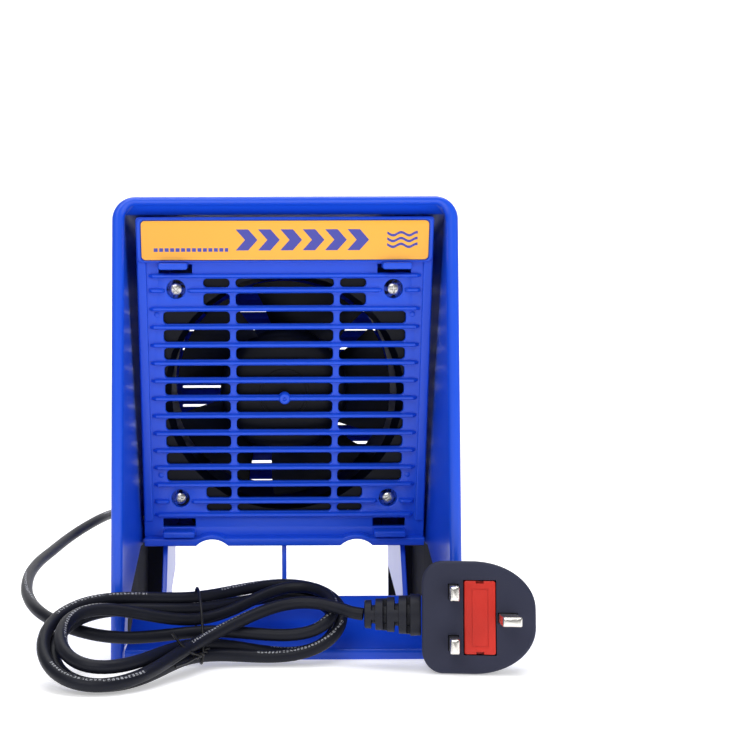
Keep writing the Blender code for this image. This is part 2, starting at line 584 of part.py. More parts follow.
def rear_grille(mat):
    """Outlet plate with sloping vanes in its slots, a switch cut-out, the gland's hole and four corner holes."""
    middle = (GRILLE_LOW + GRILLE_HIGH) / 2
    outline = rounded(2 * GRILLE_HALF_WIDTH, GRILLE_HIGH - GRILLE_LOW, 5 * MM, (0, middle), 3)
    plate = prism_y("rear_grille", outline, GRILLE_Y, GRILLE_Y + GRILLE_THICK, mat)
    cutters, vanes = [], []
    for row in range(12):
        low = 65.0 + 11.5 * row
        high = low + 5
        vane = [(y * MM, z * MM) for y, z in ((75.7, low - 0.8), (75.7, low + 0.9), (71, high - 1.3),
                                              (71, high - 2.5), (74.4, low - 0.8))]
        for column, (x0, x1) in enumerate(COLUMN_EDGES):
            if row == 0 and column != 1:
                continue
            cutters.append(box("slot", (x0 * MM, 65 * MM, low * MM), (x1 * MM, 90 * MM, high * MM), mat))
            vanes.append(prism_x("vane", vane, (x0 - 0.5) * MM, (x1 + 0.5) * MM, mat))
    cutters.append(box("slot", (SWITCH_AT[0] - 9.9 * MM, 65 * MM, SWITCH_AT[1] - 6.7 * MM),
                       (SWITCH_AT[0] + 9.9 * MM, 90 * MM, SWITCH_AT[1] + 6.7 * MM), mat))
    combine(plate, "DIFFERENCE", merged("grille_slots", cutters, mat))
    combine(plate, "UNION", merged("grille_vanes", vanes, mat))
    gland_hole = turned("gland_hole", ((0, 65 * MM), (6.3 * MM, 65 * MM), (6.3 * MM, 90 * MM), (0, 90 * MM)),
                        mat, centre=(GLAND_AT[0], 0, GLAND_AT[1]), sides=20)
    combine(plate, "DIFFERENCE", gland_hole)
    for k, (x, z) in enumerate(grille_screw_spots()):
        way = turned(f"grille_way_{k}", ((0, 65 * MM), (1.9 * MM, 65 * MM), (1.9 * MM, 90 * MM), (0, 90 * MM)),
                     mat, centre=(x, 0, z), sides=12)
        combine(plate, "DIFFERENCE", way)
    return plate


def grille_screw_spots():
    return [(x * MM, z * MM) for x in (-65.2, 65.2) for z in (56, 202)]


def rocker_switch(black, red, brass):
    """Snap-in body with a pocket, a tilted rocker on its own pivot, and two blades."""
    x, z = SWITCH_AT
    outer = GRILLE_Y + GRILLE_THICK + GAP
    body = box("switch_body", (x - 9.5 * MM, 60 * MM, z - 6.3 * MM),
               (x + 9.5 * MM, outer + 0.5 * MM, z + 6.3 * MM), black)
    bezel = box("bezel", (x - 10.5 * MM, outer, z - 7.5 * MM),
                (x + 10.5 * MM, outer + 1.4 * MM, z + 7.5 * MM), black)
    pocket = box("pocket", (x - 7.6 * MM, 70 * MM, z - 5 * MM), (x + 7.6 * MM, 90 * MM, z + 5 * MM), black)
    combine(body, "UNION", bezel)
    combine(body, "DIFFERENCE", pocket)
    pivot = frame_empty("switch_pivot", (x, 73.6 * MM, z), (0, 0, 0))
    tilt = math.radians(8)
    outline = [(-6.4, 0.6), (-6.4, 4.2), (-3.2, 3.3), (0, 3.0), (3.2, 3.3), (6.4, 4.2), (6.4, 0.6), (0, -1.6)]
    points = [(u * math.cos(tilt) - v * math.sin(tilt), u * math.sin(tilt) + v * math.cos(tilt))
              for u, v in outline]
    rings = [[(u * MM, v * MM, side * 4.5 * MM) for u, v in points] for side in (-1, 1)]
    loft("switch_rocker", rings, red, pivot, smooth=30)
    for k, dx in enumerate((-5 * MM, 5 * MM)):
        box(f"switch_blade_{k + 1}", (x + dx - 0.4 * MM, 52 * MM, z - 2.4 * MM),
            (x + dx + 0.4 * MM, 60 * MM - GAP, z + 2.4 * MM), brass)


def cord_gland(mat):
    """Flanged strain relief that tapers along the lead."""
    x, z = GLAND_AT
    outer = GRILLE_Y + GRILLE_THICK + GAP
    profile = [(0, 66 * MM), (4.6 * MM, 66 * MM), (5.9 * MM, 68 * MM), (5.9 * MM, outer), (8.2 * MM, outer),
               (8.2 * MM, outer + 2.2 * MM), (5.6 * MM, outer + 3.2 * MM)]
    start, steps = outer + 3.2 * MM, 4
    pitch = (GLAND_TIP_Y - start) / (2 * steps)
    for k in range(steps):
        radius = (5.4 - 1.3 * k / steps) * MM
        y = start + 2 * k * pitch
        profile += [(radius, y + pitch), (radius - 0.9 * MM, y + pitch), (radius - 0.9 * MM, y + 1.5 * pitch),
                    (radius - 0.2 * MM, y + 1.5 * pitch)]
    profile += [(3.9 * MM, GLAND_TIP_Y), (0, GLAND_TIP_Y)]
    return turned("cord_gland", profile, mat, centre=(x, 0, z), sides=12)


def inner_leads(live, neutral, switched):
    """Three thin leads inside the fan chamber."""
    tube("lead_live", ((-46, 65.6, 58), (-44, 58, 57.4), (-20, 56, 57), (20, 54, 57), (44, 48, 58),
                       (50, 44, 61.5), (50, 46.5, 65.6), (50, 51.4, 66)), 1.8 * MM, live, 8 * MM)
    tube("lead_neutral", ((-50, 65.6, 62), (-46, 56, 68), (-20, 46, 74), (20, 34, 84), (52, 18, 96),
                          (68, 2, 106), (70.5, -10, 111.5), (70.8, -15.6, 114)), 1.8 * MM, neutral, 8 * MM)
    tube("lead_switched", ((40, 51.4, 66), (41, 42, 70), (52, 30, 84), (66, 14, 104), (71.5, 0, 116),
                           (71.6, -10, 120), (70.8, -15.4, 121.4)), 1.8 * MM, switched, 8 * MM)


# ---- mains lead ----------------------------------------------------------------------------------

def hank_frame():
    """The outermost turn, the middle of its waist and the mean normal of the surface it bounds."""
    loop = smooth_route(HANK_LOOP, 11 * MM, closed=True)
    centre = (np.array(HANK_LOOP[0]) + HANK_LOOP[HANK_WAIST]) / 2 * MM
    normal = np.cross(loop - centre, np.roll(loop, -1, axis=0) - centre).sum(axis=0)
    return loop, centre, normal / np.linalg.norm(normal)


def cord_hank(mat):
    """Outer shape of the tied hank: a thin pinched loop that leans against the hood's mouth."""
    loop, centre, normal = hank_frame()
    out = loop - centre
    out -= np.outer(out @ normal, normal)
    out /= np.linalg.norm(out, axis=1)[:, None]
    rim = loop + out * CORD_DIAMETER / 2
    top, bottom = rim + normal * HANK_HALF_THICK, rim - normal * HANK_HALF_THICK
    bottom[:, 2] = np.maximum(bottom[:, 2], 0.4 * MM)
    count = len(loop)
    points = list(top) + list(bottom) + [centre + normal * HANK_HALF_THICK, centre - normal * HANK_HALF_THICK]
    faces = []
    for i in range(count):
        j = (i + 1) % count
        faces += [(i, j, 2 * count), (count + j, count + i, 2 * count + 1), (j, i, count + i, count + j)]
    return solid("cord_hank", points, faces, mat)


def twist_tie(mat):
    """Wire loop round the waist of the hank."""
    low, high = Vector(HANK_LOOP[0]) * MM, Vector(HANK_LOOP[HANK_WAIST]) * MM
    middle = (low + high) / 2
    up = (high - low).normalized()
    across = Vector(hank_frame()[2])
    across = (across - up * across.dot(up)).normalized()
    reach = (high - low).length / 2 + CORD_DIAMETER / 2 + 3.0 * MM
    width, wire, sides, round_count = HANK_HALF_THICK + 5.5 * MM, 0.7 * MM, 6, 20
    points, faces = [], []
    for i in range(round_count):
        a = 2 * math.pi * i / round_count
        spot = middle + up * reach * math.cos(a) + across * width * math.sin(a)
        spot.z = max(spot.z, wire + 0.2 * MM)
        out = (up * width * math.cos(a) + across * reach * math.sin(a)).normalized()
        along = out.cross(up.cross(across)).normalized()
        side_way = out.cross(along)
        for k in range(sides):
            b = 2 * math.pi * k / sides
            points.append(spot + (out * math.cos(b) + side_way * math.sin(b)) * wire)
    for i in range(round_count):
        j = (i + 1) % round_count
        for k in range(sides):
            m = (k + 1) % sides
            faces.append((i * sides + k, i * sides + m, j * sides + m, j * sides + k))
    return solid("twist_tie", points, faces, mat, smooth=60)


# ---- plug, in its own frame: x from the boot to the earth pin, y into the body, z up ---------------

def plug_outline(scale):
    """Square with broad round corners, rounder on the earth side."""
    outline = []
    middle = PLUG_HALF
    for sx, sz, start, radius in ((1, 1, 0, 17), (-1, 1, 90, 11), (-1, -1, 180, 11), (1, -1, 270, 17)):
        for k in range(6):
            a = math.radians(start + 90 * k / 5)
            x = sx * (PLUG_HALF - radius * MM) + radius * MM * math.cos(a)
            z = sz * (PLUG_HALF - radius * MM) + radius * MM * math.sin(a)
            outline.append((x * scale, middle + z * scale))
    return outline


def plug_pin(name, x, z, size_x, size_z, length, mat, plug):
    """Flat pin with a chamfered tip, seated in the body."""
    inner, tip = 4.6 * MM, -length
    rings = []
    for y, shrink in ((inner, 0), (tip + 1.8 * MM, 0), (tip, 1.0 * MM)):
        hx, hz = size_x / 2 - shrink, size_z / 2 - shrink
        rings.append([(x - hx, y, z - hz), (x + hx, y, z - hz), (x + hx, y, z + hz), (x - hx, y, z + hz)])
    return loft(name, rings, mat, plug, smooth=30)


def mains_plug(black, red, metal, glass, plug):
    """Moulded body with its boot, three pins, and the fuse carrier with its fuse."""
    sections = ((0, 0.97), (1.2 * MM, 1.0), (11 * MM, 0.985), (18 * MM, 0.86), (PLUG_DEPTH, 0.70))
    body = loft("plug_body", [[(x, y, z) for x, z in plug_outline(s)] for y, s in sections], black, plug)
    mid = PLUG_HALF
    pocket = box("fuse_pocket", (-6.6 * MM, -3 * MM, mid - 16.3 * MM), (7.6 * MM, 10.2 * MM, mid + 16.3 * MM),
                 black, plug)
    combine(body, "DIFFERENCE", pocket)
    pins = (("pin_live", -10.9, PIN_DROP, 4.0, 6.35, 17.7), ("pin_neutral", -10.9, -PIN_DROP, 4.0, 6.35, 17.7),
            ("pin_earth", 12.4, 0, 8.0, 4.0, 22.7))
    for name, x, dz, size_x, size_z, length in pins:
        plug_pin(name, x * MM, mid + dz, size_x * MM, size_z * MM, length * MM, metal, plug)
        seat = box(name + "_seat", ((x - size_x / 2) * MM - GAP, -3 * MM, mid + dz - size_z / 2 * MM - GAP),
                   ((x + size_x / 2) * MM + GAP, 5 * MM, mid + dz + size_z / 2 * MM + GAP), black, plug)
        combine(body, "DIFFERENCE", seat)
    carrier = box("fuse_carrier", (-6.2 * MM, -0.5 * MM, mid - 15.9 * MM),
                  (7.2 * MM, 9.6 * MM, mid + 15.9 * MM), red, plug)
    cradle = box("fuse_cradle", (-3.2 * MM, 2.4 * MM, mid - 13.6 * MM),
                 (4.2 * MM, 12 * MM, mid + 13.6 * MM), red, plug)
    combine(carrier, "DIFFERENCE", cradle)
    radius, half = 3.15 * MM, 12.7 * MM
    rings = [[(0.5 * MM + radius * math.cos(a), 6.0 * MM + radius * math.sin(a), z)
              for a in [2 * math.pi * k / 16 for k in range(16)]] for z in (mid - half, mid + half)]
    loft("fuse", rings, glass, plug)
    profile = [(0, -PLUG_HALF - GAP), (9.6 * MM, -PLUG_HALF - GAP), (9.0 * MM, -29 * MM)]
    for k in range(4):
        x, radius = (-29 - 5.2 * k) * MM, (8.6 - 0.75 * k) * MM
        profile += [(radius - 2.4 * MM, x), (radius - 2.4 * MM, x - 1.6 * MM), (radius, x - 1.6 * MM),
                    (radius - 0.3 * MM, x - 5.2 * MM)]
    profile += [(3.8 * MM, -50 * MM), (0, -50 * MM)]
    turned("plug_boot", profile, black, plug, axis="X", centre=(0, 11 * MM, mid), sides=12)


def build():
    for obj in list(bpy.data.objects):
        bpy.data.objects.remove(obj)
    blue = material("blue_abs", (0.02, 0.09, 0.62), 0.32)
    yellow = material("label_yellow", (0.98, 0.55, 0.08), 0.45)
    black = material("black_plastic", (0.02, 0.02, 0.022), 0.45)
    fan_black = material("fan_black", (0.015, 0.015, 0.017), 0.5)
    rubber = material("cord_pvc", (0.02, 0.02, 0.025), 0.5)
    charcoal = material("plug_charcoal", (0.045, 0.045, 0.06), 0.65)
    red = material("fuse_red", (0.75, 0.05, 0.03), 0.4)
    steel = material("bright_steel", (0.7, 0.7, 0.7), 0.25, 1.0)
    nickel = material("pin_nickel", (0.8, 0.78, 0.74), 0.2, 1.0)
    brass = material("brass", (0.75, 0.55, 0.2), 0.3, 1.0)
    copper = material("copper_wire", (0.72, 0.36, 0.18), 0.4, 1.0)
    iron = material("laminated_iron", (0.25, 0.25, 0.26), 0.5, 1.0)
    brown = material("lead_brown", (0.2, 0.08, 0.03), 0.5)
    lead_blue = material("lead_blue", (0.03, 0.12, 0.5), 0.5)
    ceramic = material("fuse_ceramic", (0.85, 0.83, 0.78), 0.4)

    hood_shell(blue)
    rear_shell(blue)
    base_frame(blue)
    bottom_cover(blue)

    tilted = frame_empty("panel_frame", PANEL_CENTRE, (PANEL_TILT, 0, 0))
    spin = frame_empty("fan_axis", PANEL_CENTRE, (PANEL_TILT, 0, 0))
    front_panel(blue, tilted)
    label_plate(yellow, tilted)
    fan_frame(fan_black, tilted)
    impeller(fan_black, spin)
    motor(steel, brass, copper, iron, tilted, spin)
    terminal_block(black, tilted)
    for k, (x, z) in enumerate(screw_spots()):
        pan_screw(f"fan_screw_{k + 1}", (x, 0.7 * MM, z), 45 * MM, steel, tilted)
        hex_nut(f"fan_nut_{k + 1}", x, FAN_FRONT + FAN_DEPTH + GAP, z, steel, tilted)
    for k, (x, z) in enumerate(PILLARS):
        pan_screw(f"case_screw_{k + 1}", (x * MM, 30.3 * MM, z * MM), 24 * MM, steel, side=1, head=2.8 * MM,
                  shank=1.6 * MM)

    rear_grille(blue)
    for k, (x, z) in enumerate(grille_screw_spots()):
        pan_screw(f"grille_screw_{k + 1}", (x, GRILLE_Y + GRILLE_THICK + GAP, z), 2 * MM, steel, side=1,
                  shank=1.6 * MM)
    rocker_switch(black, black, brass)
    cord_gland(rubber)
    inner_leads(brown, lead_blue, brown)

    tube("cord_lead", LEAD_ROUTE, CORD_DIAMETER, rubber, 12 * MM)
    cord_hank(rubber)
    twist_tie(rubber)
    tube("cord_tail", TAIL_ROUTE, CORD_DIAMETER, rubber, 4 * MM)
    plug = frame_empty("plug_frame", PLUG_FACE, (PLUG_LEAN, 0, PLUG_YAW))
    mains_plug(charcoal, red, nickel, ceramic, plug)


build()
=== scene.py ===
import math

import bmesh
import bpy
import numpy as np
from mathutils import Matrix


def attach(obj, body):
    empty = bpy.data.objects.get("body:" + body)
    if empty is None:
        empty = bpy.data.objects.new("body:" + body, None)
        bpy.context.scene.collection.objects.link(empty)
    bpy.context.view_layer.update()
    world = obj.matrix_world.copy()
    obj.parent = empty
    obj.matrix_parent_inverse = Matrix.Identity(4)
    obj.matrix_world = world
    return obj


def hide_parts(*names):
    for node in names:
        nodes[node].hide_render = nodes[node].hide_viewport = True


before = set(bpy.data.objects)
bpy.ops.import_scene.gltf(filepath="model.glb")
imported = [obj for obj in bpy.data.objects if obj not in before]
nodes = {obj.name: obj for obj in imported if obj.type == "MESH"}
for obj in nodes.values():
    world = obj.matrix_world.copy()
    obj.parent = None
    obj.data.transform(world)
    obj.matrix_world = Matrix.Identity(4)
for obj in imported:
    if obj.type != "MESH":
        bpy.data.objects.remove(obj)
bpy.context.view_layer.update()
mm = 0.001
pi = math.pi
print("frame loaded:", len(nodes), "nodes")

view = {
    "place": (-13.4, -586.3, 95.9),   # mm
    "yaw": 0.0046,
    "roll": 0.0039,
    "lens": 51.84,
    "shift": (0.1499, 0.1075),
}


def linked(name, data):
    obj = bpy.data.objects.new(name, data)
    bpy.context.scene.collection.objects.link(obj)
    return obj


def makeCamera():
    cam = linked("camera", bpy.data.cameras.new("camera"))
    cam.location = [v * mm for v in view["place"]]
    cam.rotation_euler = (pi / 2, view["roll"], -view["yaw"])
    cam.data.lens = view["lens"]
    cam.data.shift_x, cam.data.shift_y = view["shift"]
    cam.data.clip_start = 0.01
    bpy.context.scene.camera = cam


makeCamera()


def operator(operation, first=True):
    return lambda wire, other: wire.math(operation, other, first=first)


class Wire:
    # one output socket; arithmetic on it adds Math nodes
    def __init__(self, finish, socket):
        self.finish = finish
        self.socket = socket

    def math(self, operation, *others, first=True):
        values = (self, *others) if first else (*others, self)
        return self.finish.add("ShaderNodeMath", {"operation": operation}, values)

    __add__ = __radd__ = operator("ADD")
    __sub__ = operator("SUBTRACT")
    __rsub__ = operator("SUBTRACT", first=False)
    __mul__ = __rmul__ = operator("MULTIPLY")
    __truediv__ = operator("DIVIDE")
    __lt__ = operator("LESS_THAN")
    __gt__ = operator("GREATER_THAN")


class Finish:
    # one material on a Principled shader; constants go straight on its sockets
    def __init__(self, name, **constants):
        self.material = bpy.data.materials.new(name)
        self.material.use_nodes = True
        self.tree = self.material.node_tree
        self.shader = self.tree.nodes["Principled BSDF"]
        self.surface(**constants)

    def add(self, kind, settings=None, values=(), out=0):
        node = self.tree.nodes.new(kind)
        for key, value in (settings or {}).items():
            setattr(node, key, value)
        pairs = values.items() if isinstance(values, dict) else enumerate(values)
        for key, value in pairs:
            self.feed(node.inputs[key], value)
        return Wire(self, node.outputs[out])

    def feed(self, socket, value):
        if isinstance(value, Wire):
            self.tree.links.new(value.socket, socket)
        else:
            socket.default_value = value

    def surface(self, **values):
        for key, value in values.items():
            self.feed(self.shader.inputs[key.replace("_", " ")], value)

    def where(self):
        return self.add("ShaderNodeTexCoord", out="Object")

    def stretched(self, spot, scale):
        return self.add("ShaderNodeMapping", None, {"Vector": spot, "Scale": scale})

    def split(self, spot):
        node = self.add("ShaderNodeSeparateXYZ", None, [spot]).socket.node
        return [Wire(self, end) for end in node.outputs]

    def chart(self, name):
        return self.add("ShaderNodeUVMap", {"uv_map": name})

    def noise(self, scale, detail=3.0, at=None):
        spot = self.where() if at is None else at
        return self.add("ShaderNodeTexNoise", None, {"Vector": spot, "Scale": scale, "Detail": detail})

    def mixed(self, amount, a, b):
        a, b = [v if isinstance(v, Wire) else (*v, 1) for v in (a, b)]
        return self.add("ShaderNodeMix", {"data_type": "RGBA"}, {0: amount, 6: a, 7: b}, out=2)

    def bumped(self, height, depth, strength):
        return self.add("ShaderNodeBump", None, {"Height": height, "Distance": depth, "Strength": strength})


def moulded(name, colour, deep, rough, grain=0.00002, scale=2600, coat=0.0, spread=0.05, shine=0.5,
            paintedShadeHollow=False):
    # moulded plastic: flow-like tone changes, slightly uneven gloss and a fine spark-eroded grain; on request, painted
    # shade in the legs' hollows
    f = Finish(name, Coat_Roughness=0.12, Coat_Weight=coat, Specular_IOR_Level=shine)
    base = f.mixed(f.noise(22, 2), deep, colour)
    gloss = f.noise(130, 4) * spread + (rough - spread / 2)
    if paintedShadeHollow:                         # painted shade: the space between each leg's two walls is painted near-black and dull, standing in for the shade in the hollow
        x, y, z = f.split(f.where())
        side = x.math("ABSOLUTE")
        # the painted shade's mask: the region between each leg's two walls, found by object position
        paintedShade = (side > 0.0607) * (side < 0.0809) * (z < 0.0512) * (y > -0.031) * (y < 0.0725)
        base = f.mixed(paintedShade, base, (0.004, 0.004, 0.007))
        gloss = gloss + paintedShade * 0.6
        f.surface(Coat_Weight=coat - paintedShade * coat)
    f.surface(Base_Color=base, Roughness=gloss, Normal=f.bumped(f.noise(scale, 1), grain, 0.35))
    return f.material


def metal(name, colour, rough, stretch=(900, 900, 60)):
    # drawn or plated metal: fine lines along one way vary the gloss and the surface
    f = Finish(name, Metallic=1.0)
    lines = f.noise(1.0, 3, f.stretched(f.where(), stretch))
    f.surface(Base_Color=f.mixed(f.noise(240, 3), [c * 0.82 for c in colour], colour),
              Roughness=lines * 0.16 + (rough - 0.06), Normal=f.bumped(lines, 0.00003, 0.35))
    return f.material


def stacked(name, colour, pitch):
    # thin laminations or wound wire: even bands across the tilted axis
    f = Finish(name, Metallic=1.0, Roughness=0.42)
    y, z = f.split(f.where())[1:]
    bands = ((y * math.cos(tilt) + z * math.sin(tilt)) * (2 * pi / (pitch * mm))).math("SINE")
    f.surface(Base_Color=f.mixed(bands * 0.35 + 0.6, [c * 0.45 for c in colour], colour),
              Normal=f.bumped(bands, 0.00008, 0.8))
    return f.material


tilt = math.radians(14)
paint = {
    # the housing blue carries painted shade in the legs' hollows
    "blue": moulded("housing_blue", (0.009, 0.082, 0.7), (0.007, 0.073, 0.64), 0.3, coat=0.12, shine=0.4,
                    paintedShadeHollow=True),
    "panelBlue": moulded("panel_blue", (0.009, 0.078, 0.68), (0.007, 0.069, 0.62), 0.34, coat=0.05,
                         shine=0.35),
    "fanBlack": moulded("fan_black", (0.003, 0.004, 0.01), (0.002, 0.003, 0.007), 0.42, shine=0.16),
    "black": moulded("fitting_black", (0.01, 0.01, 0.013), (0.007, 0.007, 0.009), 0.42, shine=0.3),
    "charcoal": moulded("plug_charcoal", (0.026, 0.029, 0.056), (0.02, 0.022, 0.044), 0.6, 0.00004, 1900,
                        shine=0.28),
    "boot": moulded("boot_black", (0.01, 0.011, 0.02), (0.007, 0.008, 0.014), 0.5, 0.00003, shine=0.28),
    "red": moulded("fuse_red", (0.6, 0.026, 0.014), (0.52, 0.02, 0.011), 0.42, shine=0.35),
    "brown": moulded("lead_brown", (0.16, 0.06, 0.025), (0.12, 0.045, 0.02), 0.42),
    "leadBlue": moulded("lead_blue", (0.03, 0.12, 0.5), (0.02, 0.09, 0.4), 0.42),
    "tie": moulded("tie_black", (0.01, 0.01, 0.011), (0.007, 0.007, 0.008), 0.36, shine=0.3),
    "steel": metal("bright_steel", (0.66, 0.65, 0.63), 0.26),
    "nickel": metal("pin_nickel", (0.78, 0.76, 0.72), 0.2, (700, 60, 700)),
    "brass": metal("turned_brass", (0.75, 0.55, 0.22), 0.28),
    "iron": stacked("core_iron", (0.34, 0.34, 0.36), 0.7),
    "copper": stacked("copper_wire", (0.72, 0.34, 0.17), 0.45),
}
print("materials:", len(paint))


def gathered(x, y, z):
    # three coordinates, stretched to one shape, as points
    return np.stack(np.broadcast_arrays(x, y, z), -1)


def gridFaces(rows, cols, wrapRows=False, wrapCols=False):
    # quads between neighbours of a rows by cols grid; a wrapped side joins its last line to its first
    r = np.arange(rows - (not wrapRows))[:, None]
    c = np.arange(cols - (not wrapCols))
    r2, c2 = (r + 1) % rows, (c + 1) % cols
    return np.stack([r * cols + c, r * cols + c2, r2 * cols + c2, r2 * cols + c], -1).reshape(-1, 4)


def lofted(rings, closed=False):
    # rings of equally many points joined in order, with flat caps or joined end to end
    rows, cols = rings.shape[:2]
    faces = gridFaces(rows, cols, closed, True).tolist()
    if not closed:
        faces += [list(range(cols)), list(range((rows - 1) * cols, rows * cols))]
    return rings.reshape(-1, 3), faces


def normed(rows):
    return rows / np.linalg.norm(rows, axis=1)[:, None]


def fullTurn(sides):
    return np.linspace(0, 2 * pi, sides, endpoint=False)


def turnedAbout(profile, sides=48):
    # a (radius, depth) profile turned about Y: radius times the cosine and sine of the angle
    r, depth = np.array(profile, float).T[..., None]
    a = fullTurn(sides)
    return lofted(gathered(r * np.cos(a), depth, r * np.sin(a)))


def rounding(corners, radii, steps=6):
    # an outline whose corners are replaced by arcs between their two tangent points
    p = np.array(corners, float)
    out = []
    for k, r in enumerate(np.broadcast_to(radii, len(p))):
        before, here, after = p[k - 1], p[k], p[(k + 1) % len(p)]
        u = (before - here) / np.linalg.norm(before - here)
        w = (after - here) / np.linalg.norm(after - here)
        half = math.acos(max(-1, min(1, float(u @ w)))) / 2
        a = r / math.tan(half)
        middle = here + (u + w) / np.linalg.norm(u + w) * r / math.sin(half)
        start, end = here + u * a - middle, here + w * a - middle
        t = np.linspace(0, 1, steps + 1)[:, None]
        arc = start * (1 - t) + end * t
        out.append(middle + normed(arc) * r)
    return np.vstack(out)


def roundBox(x0, x1, z0, z1, r, steps=6):
    return rounding([(x0, z0), (x1, z0), (x1, z1), (x0, z1)], r, steps)


def meshOf(name, parts):
    # several (points in mm, faces) parts in one mesh, doubles merged and faces turned outwards
    points, faces, base = [], [], 0
    for spots, sides in parts:
        points.append(np.asarray(spots).reshape(-1, 3) * mm)
        faces += [[k + base for k in side] for side in sides]
        base += len(points[-1])
    mesh = bpy.data.meshes.new(name)
    mesh.from_pydata(np.vstack(points).tolist(), [], faces)
    work = bmesh.new()
    work.from_mesh(mesh)
    bmesh.ops.remove_doubles(work, verts=work.verts, dist=1e-7)
    bmesh.ops.recalc_face_normals(work, faces=work.faces)
    work.to_mesh(mesh)
    work.free()
    return mesh


def settle(name, shape, material, body="case", stands=(), smooth=35):
    # links a mesh or parts as a piece with its finish and body, and hides the CAD nodes it stands for
    mesh = meshOf(name, shape) if isinstance(shape, list) else shape
    obj = linked(name, mesh)
    mesh.materials.clear()
    mesh.materials.append(material)
    mesh.shade_smooth()
    mesh.set_sharp_from_angle(angle=math.radians(smooth))
    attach(obj, body)
    if stands:
        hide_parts(*stands)
    return obj


def refined(name, node, finish, edge, body="case", segments=2):
    # a CAD node's own shape: doubles merged, flat stretches joined into single faces and edges rounded
    mesh = nodes[node].data.copy()
    work = bmesh.new()
    work.from_mesh(mesh)
    bmesh.ops.remove_doubles(work, verts=work.verts, dist=2e-6)
    bmesh.ops.dissolve_limit(work, angle_limit=math.radians(0.6), verts=work.verts, edges=work.edges)
    work.to_mesh(mesh)
    work.free()
    mod = settle(name, mesh, finish, body, (node,)).modifiers.new("round", "BEVEL")
    mod.width, mod.segments = edge * mm, segments
    mod.limit_method, mod.angle_limit = "ANGLE", math.radians(32)


def evaluated(obj):
    # the object's finished mesh; the object itself goes
    mesh = bpy.data.meshes.new_from_object(obj.evaluated_get(bpy.context.evaluated_depsgraph_get()))
    bpy.data.objects.remove(obj)
    return mesh


def carved(part, blocks, name):
    # the part less each block
    target = linked(name, meshOf(name, [part]))
    tools = [linked("cutter", meshOf("cutter", [block])) for block in blocks]
    for tool in tools:
        mod = target.modifiers.new("cut", "BOOLEAN")
        mod.operation, mod.solver, mod.object = "DIFFERENCE", "EXACT", tool
    bpy.context.view_layer.update()
    mesh = evaluated(target)
    for tool in tools:
        bpy.data.objects.remove(tool)
    return mesh


def spotsIn(mesh, unit=mm):
    spots = np.empty(len(mesh.vertices) * 3, np.float32)
    mesh.vertices.foreach_get("co", spots)
    return spots.reshape(-1, 3) / unit


def cornersOf(mesh):
    # the point of each corner of each face
    corner = np.empty(len(mesh.loops), np.int32)
    mesh.loops.foreach_get("vertex_index", corner)
    return corner


def writeMap(mesh, name, u, v):
    # a UV map from two numbers for each corner
    uv = np.column_stack([u, v]).astype(np.float32)
    mesh.uv_layers.new(name=name).data.foreach_set("uv", uv.ravel())


def sheetOf(outlines, thick, edge):
    # a flat plate from closed (x, z) outlines, holes among them, front at y = 0 and back at y = thick;
    # its edges are rounded by edge, by which the outlines are drawn inside the finished ones
    curve = bpy.data.curves.new("sheet", "CURVE")
    curve.dimensions = "2D"
    curve.fill_mode = "BOTH"
    curve.extrude = thick / 2 - edge
    curve.bevel_depth = edge
    curve.bevel_resolution = 2
    for outline in outlines:
        spline = curve.splines.new("POLY")
        spline.points.add(len(outline) - 1)
        flat = np.column_stack([outline, np.zeros(len(outline)), np.ones(len(outline))])
        spline.points.foreach_set("co", flat.ravel().astype(np.float32))
        spline.use_cyclic_u = True
    mesh = evaluated(linked("sheet", curve))
    x, z, y = spotsIn(mesh, 1).astype(float).T
    sides = [list(p.vertices) for p in mesh.polygons]
    bpy.data.meshes.remove(mesh)
    return gathered(x, thick / 2 - y, z), sides


def moved(part, by):
    return part[0] + np.array(by, float), part[1]


def placed(part, rule):
    return rule(part[0]), part[1]


def upright(outlines, depths):
    # (x, z) outlines joined in order, each at its own depth
    return lofted(np.array([gathered(ring[:, 0], y, ring[:, 1]) for ring, y in zip(outlines, depths)]))


def blockOf(low, high):
    # a plain block between two corners, for cutters
    (x0, y0, z0), (x1, y1, z1) = low, high
    return lofted(gathered(np.array([x0, x1, x1, x0]), np.array([[y0], [y1]]), np.array([z0, z0, z1, z1])))


def pillow(low, high, r, steps=5):
    # a block with round edges: an outline with arcs, drawn in along a quarter circle at front and back
    (x0, y0, z0), (x1, y1, z1) = low, high
    a = np.linspace(0, pi / 2, steps)
    inset = np.concatenate([r * (1 - np.sin(a)), r * (1 - np.sin(a[::-1]))])
    depth = np.concatenate([y0 + r * (1 - np.cos(a)), y1 - r * (1 - np.cos(a[::-1]))])
    return upright((roundBox(x0 + cut, x1 - cut, z0 + cut, z1 - cut, max(r * 1.6 - cut, 0.05), 4)
                    for cut in inset), depth)


# frames of the two groups that stand at an angle
panelMiddle = np.array((0, -53.3, 125.3))
plugMiddle = np.array((82.4, -118, 0.5))
plugTurn = {"lean": math.radians(-4), "yaw": math.radians(-8)}


def spun(u, v, angle):
    # two coordinates turned: u cos - v sin and u sin + v cos
    c, s = math.cos(angle), math.sin(angle)
    return u * c - v * s, u * s + v * c


def onPanel(p):
    # tilted about X, then moved: x across, y to the back, z up the slope
    x, y, z = np.asarray(p, float).T
    return gathered(x, *spun(y, z, tilt)) + panelMiddle


def onPlug(p):
    # leaned about X and yawed about Z: x from the boot to the earth pin, y into the body, z up
    x, y, z = np.asarray(p, float).T
    y, z = spun(y, z, plugTurn["lean"])
    return gathered(*spun(x, y, plugTurn["yaw"]), z) + plugMiddle


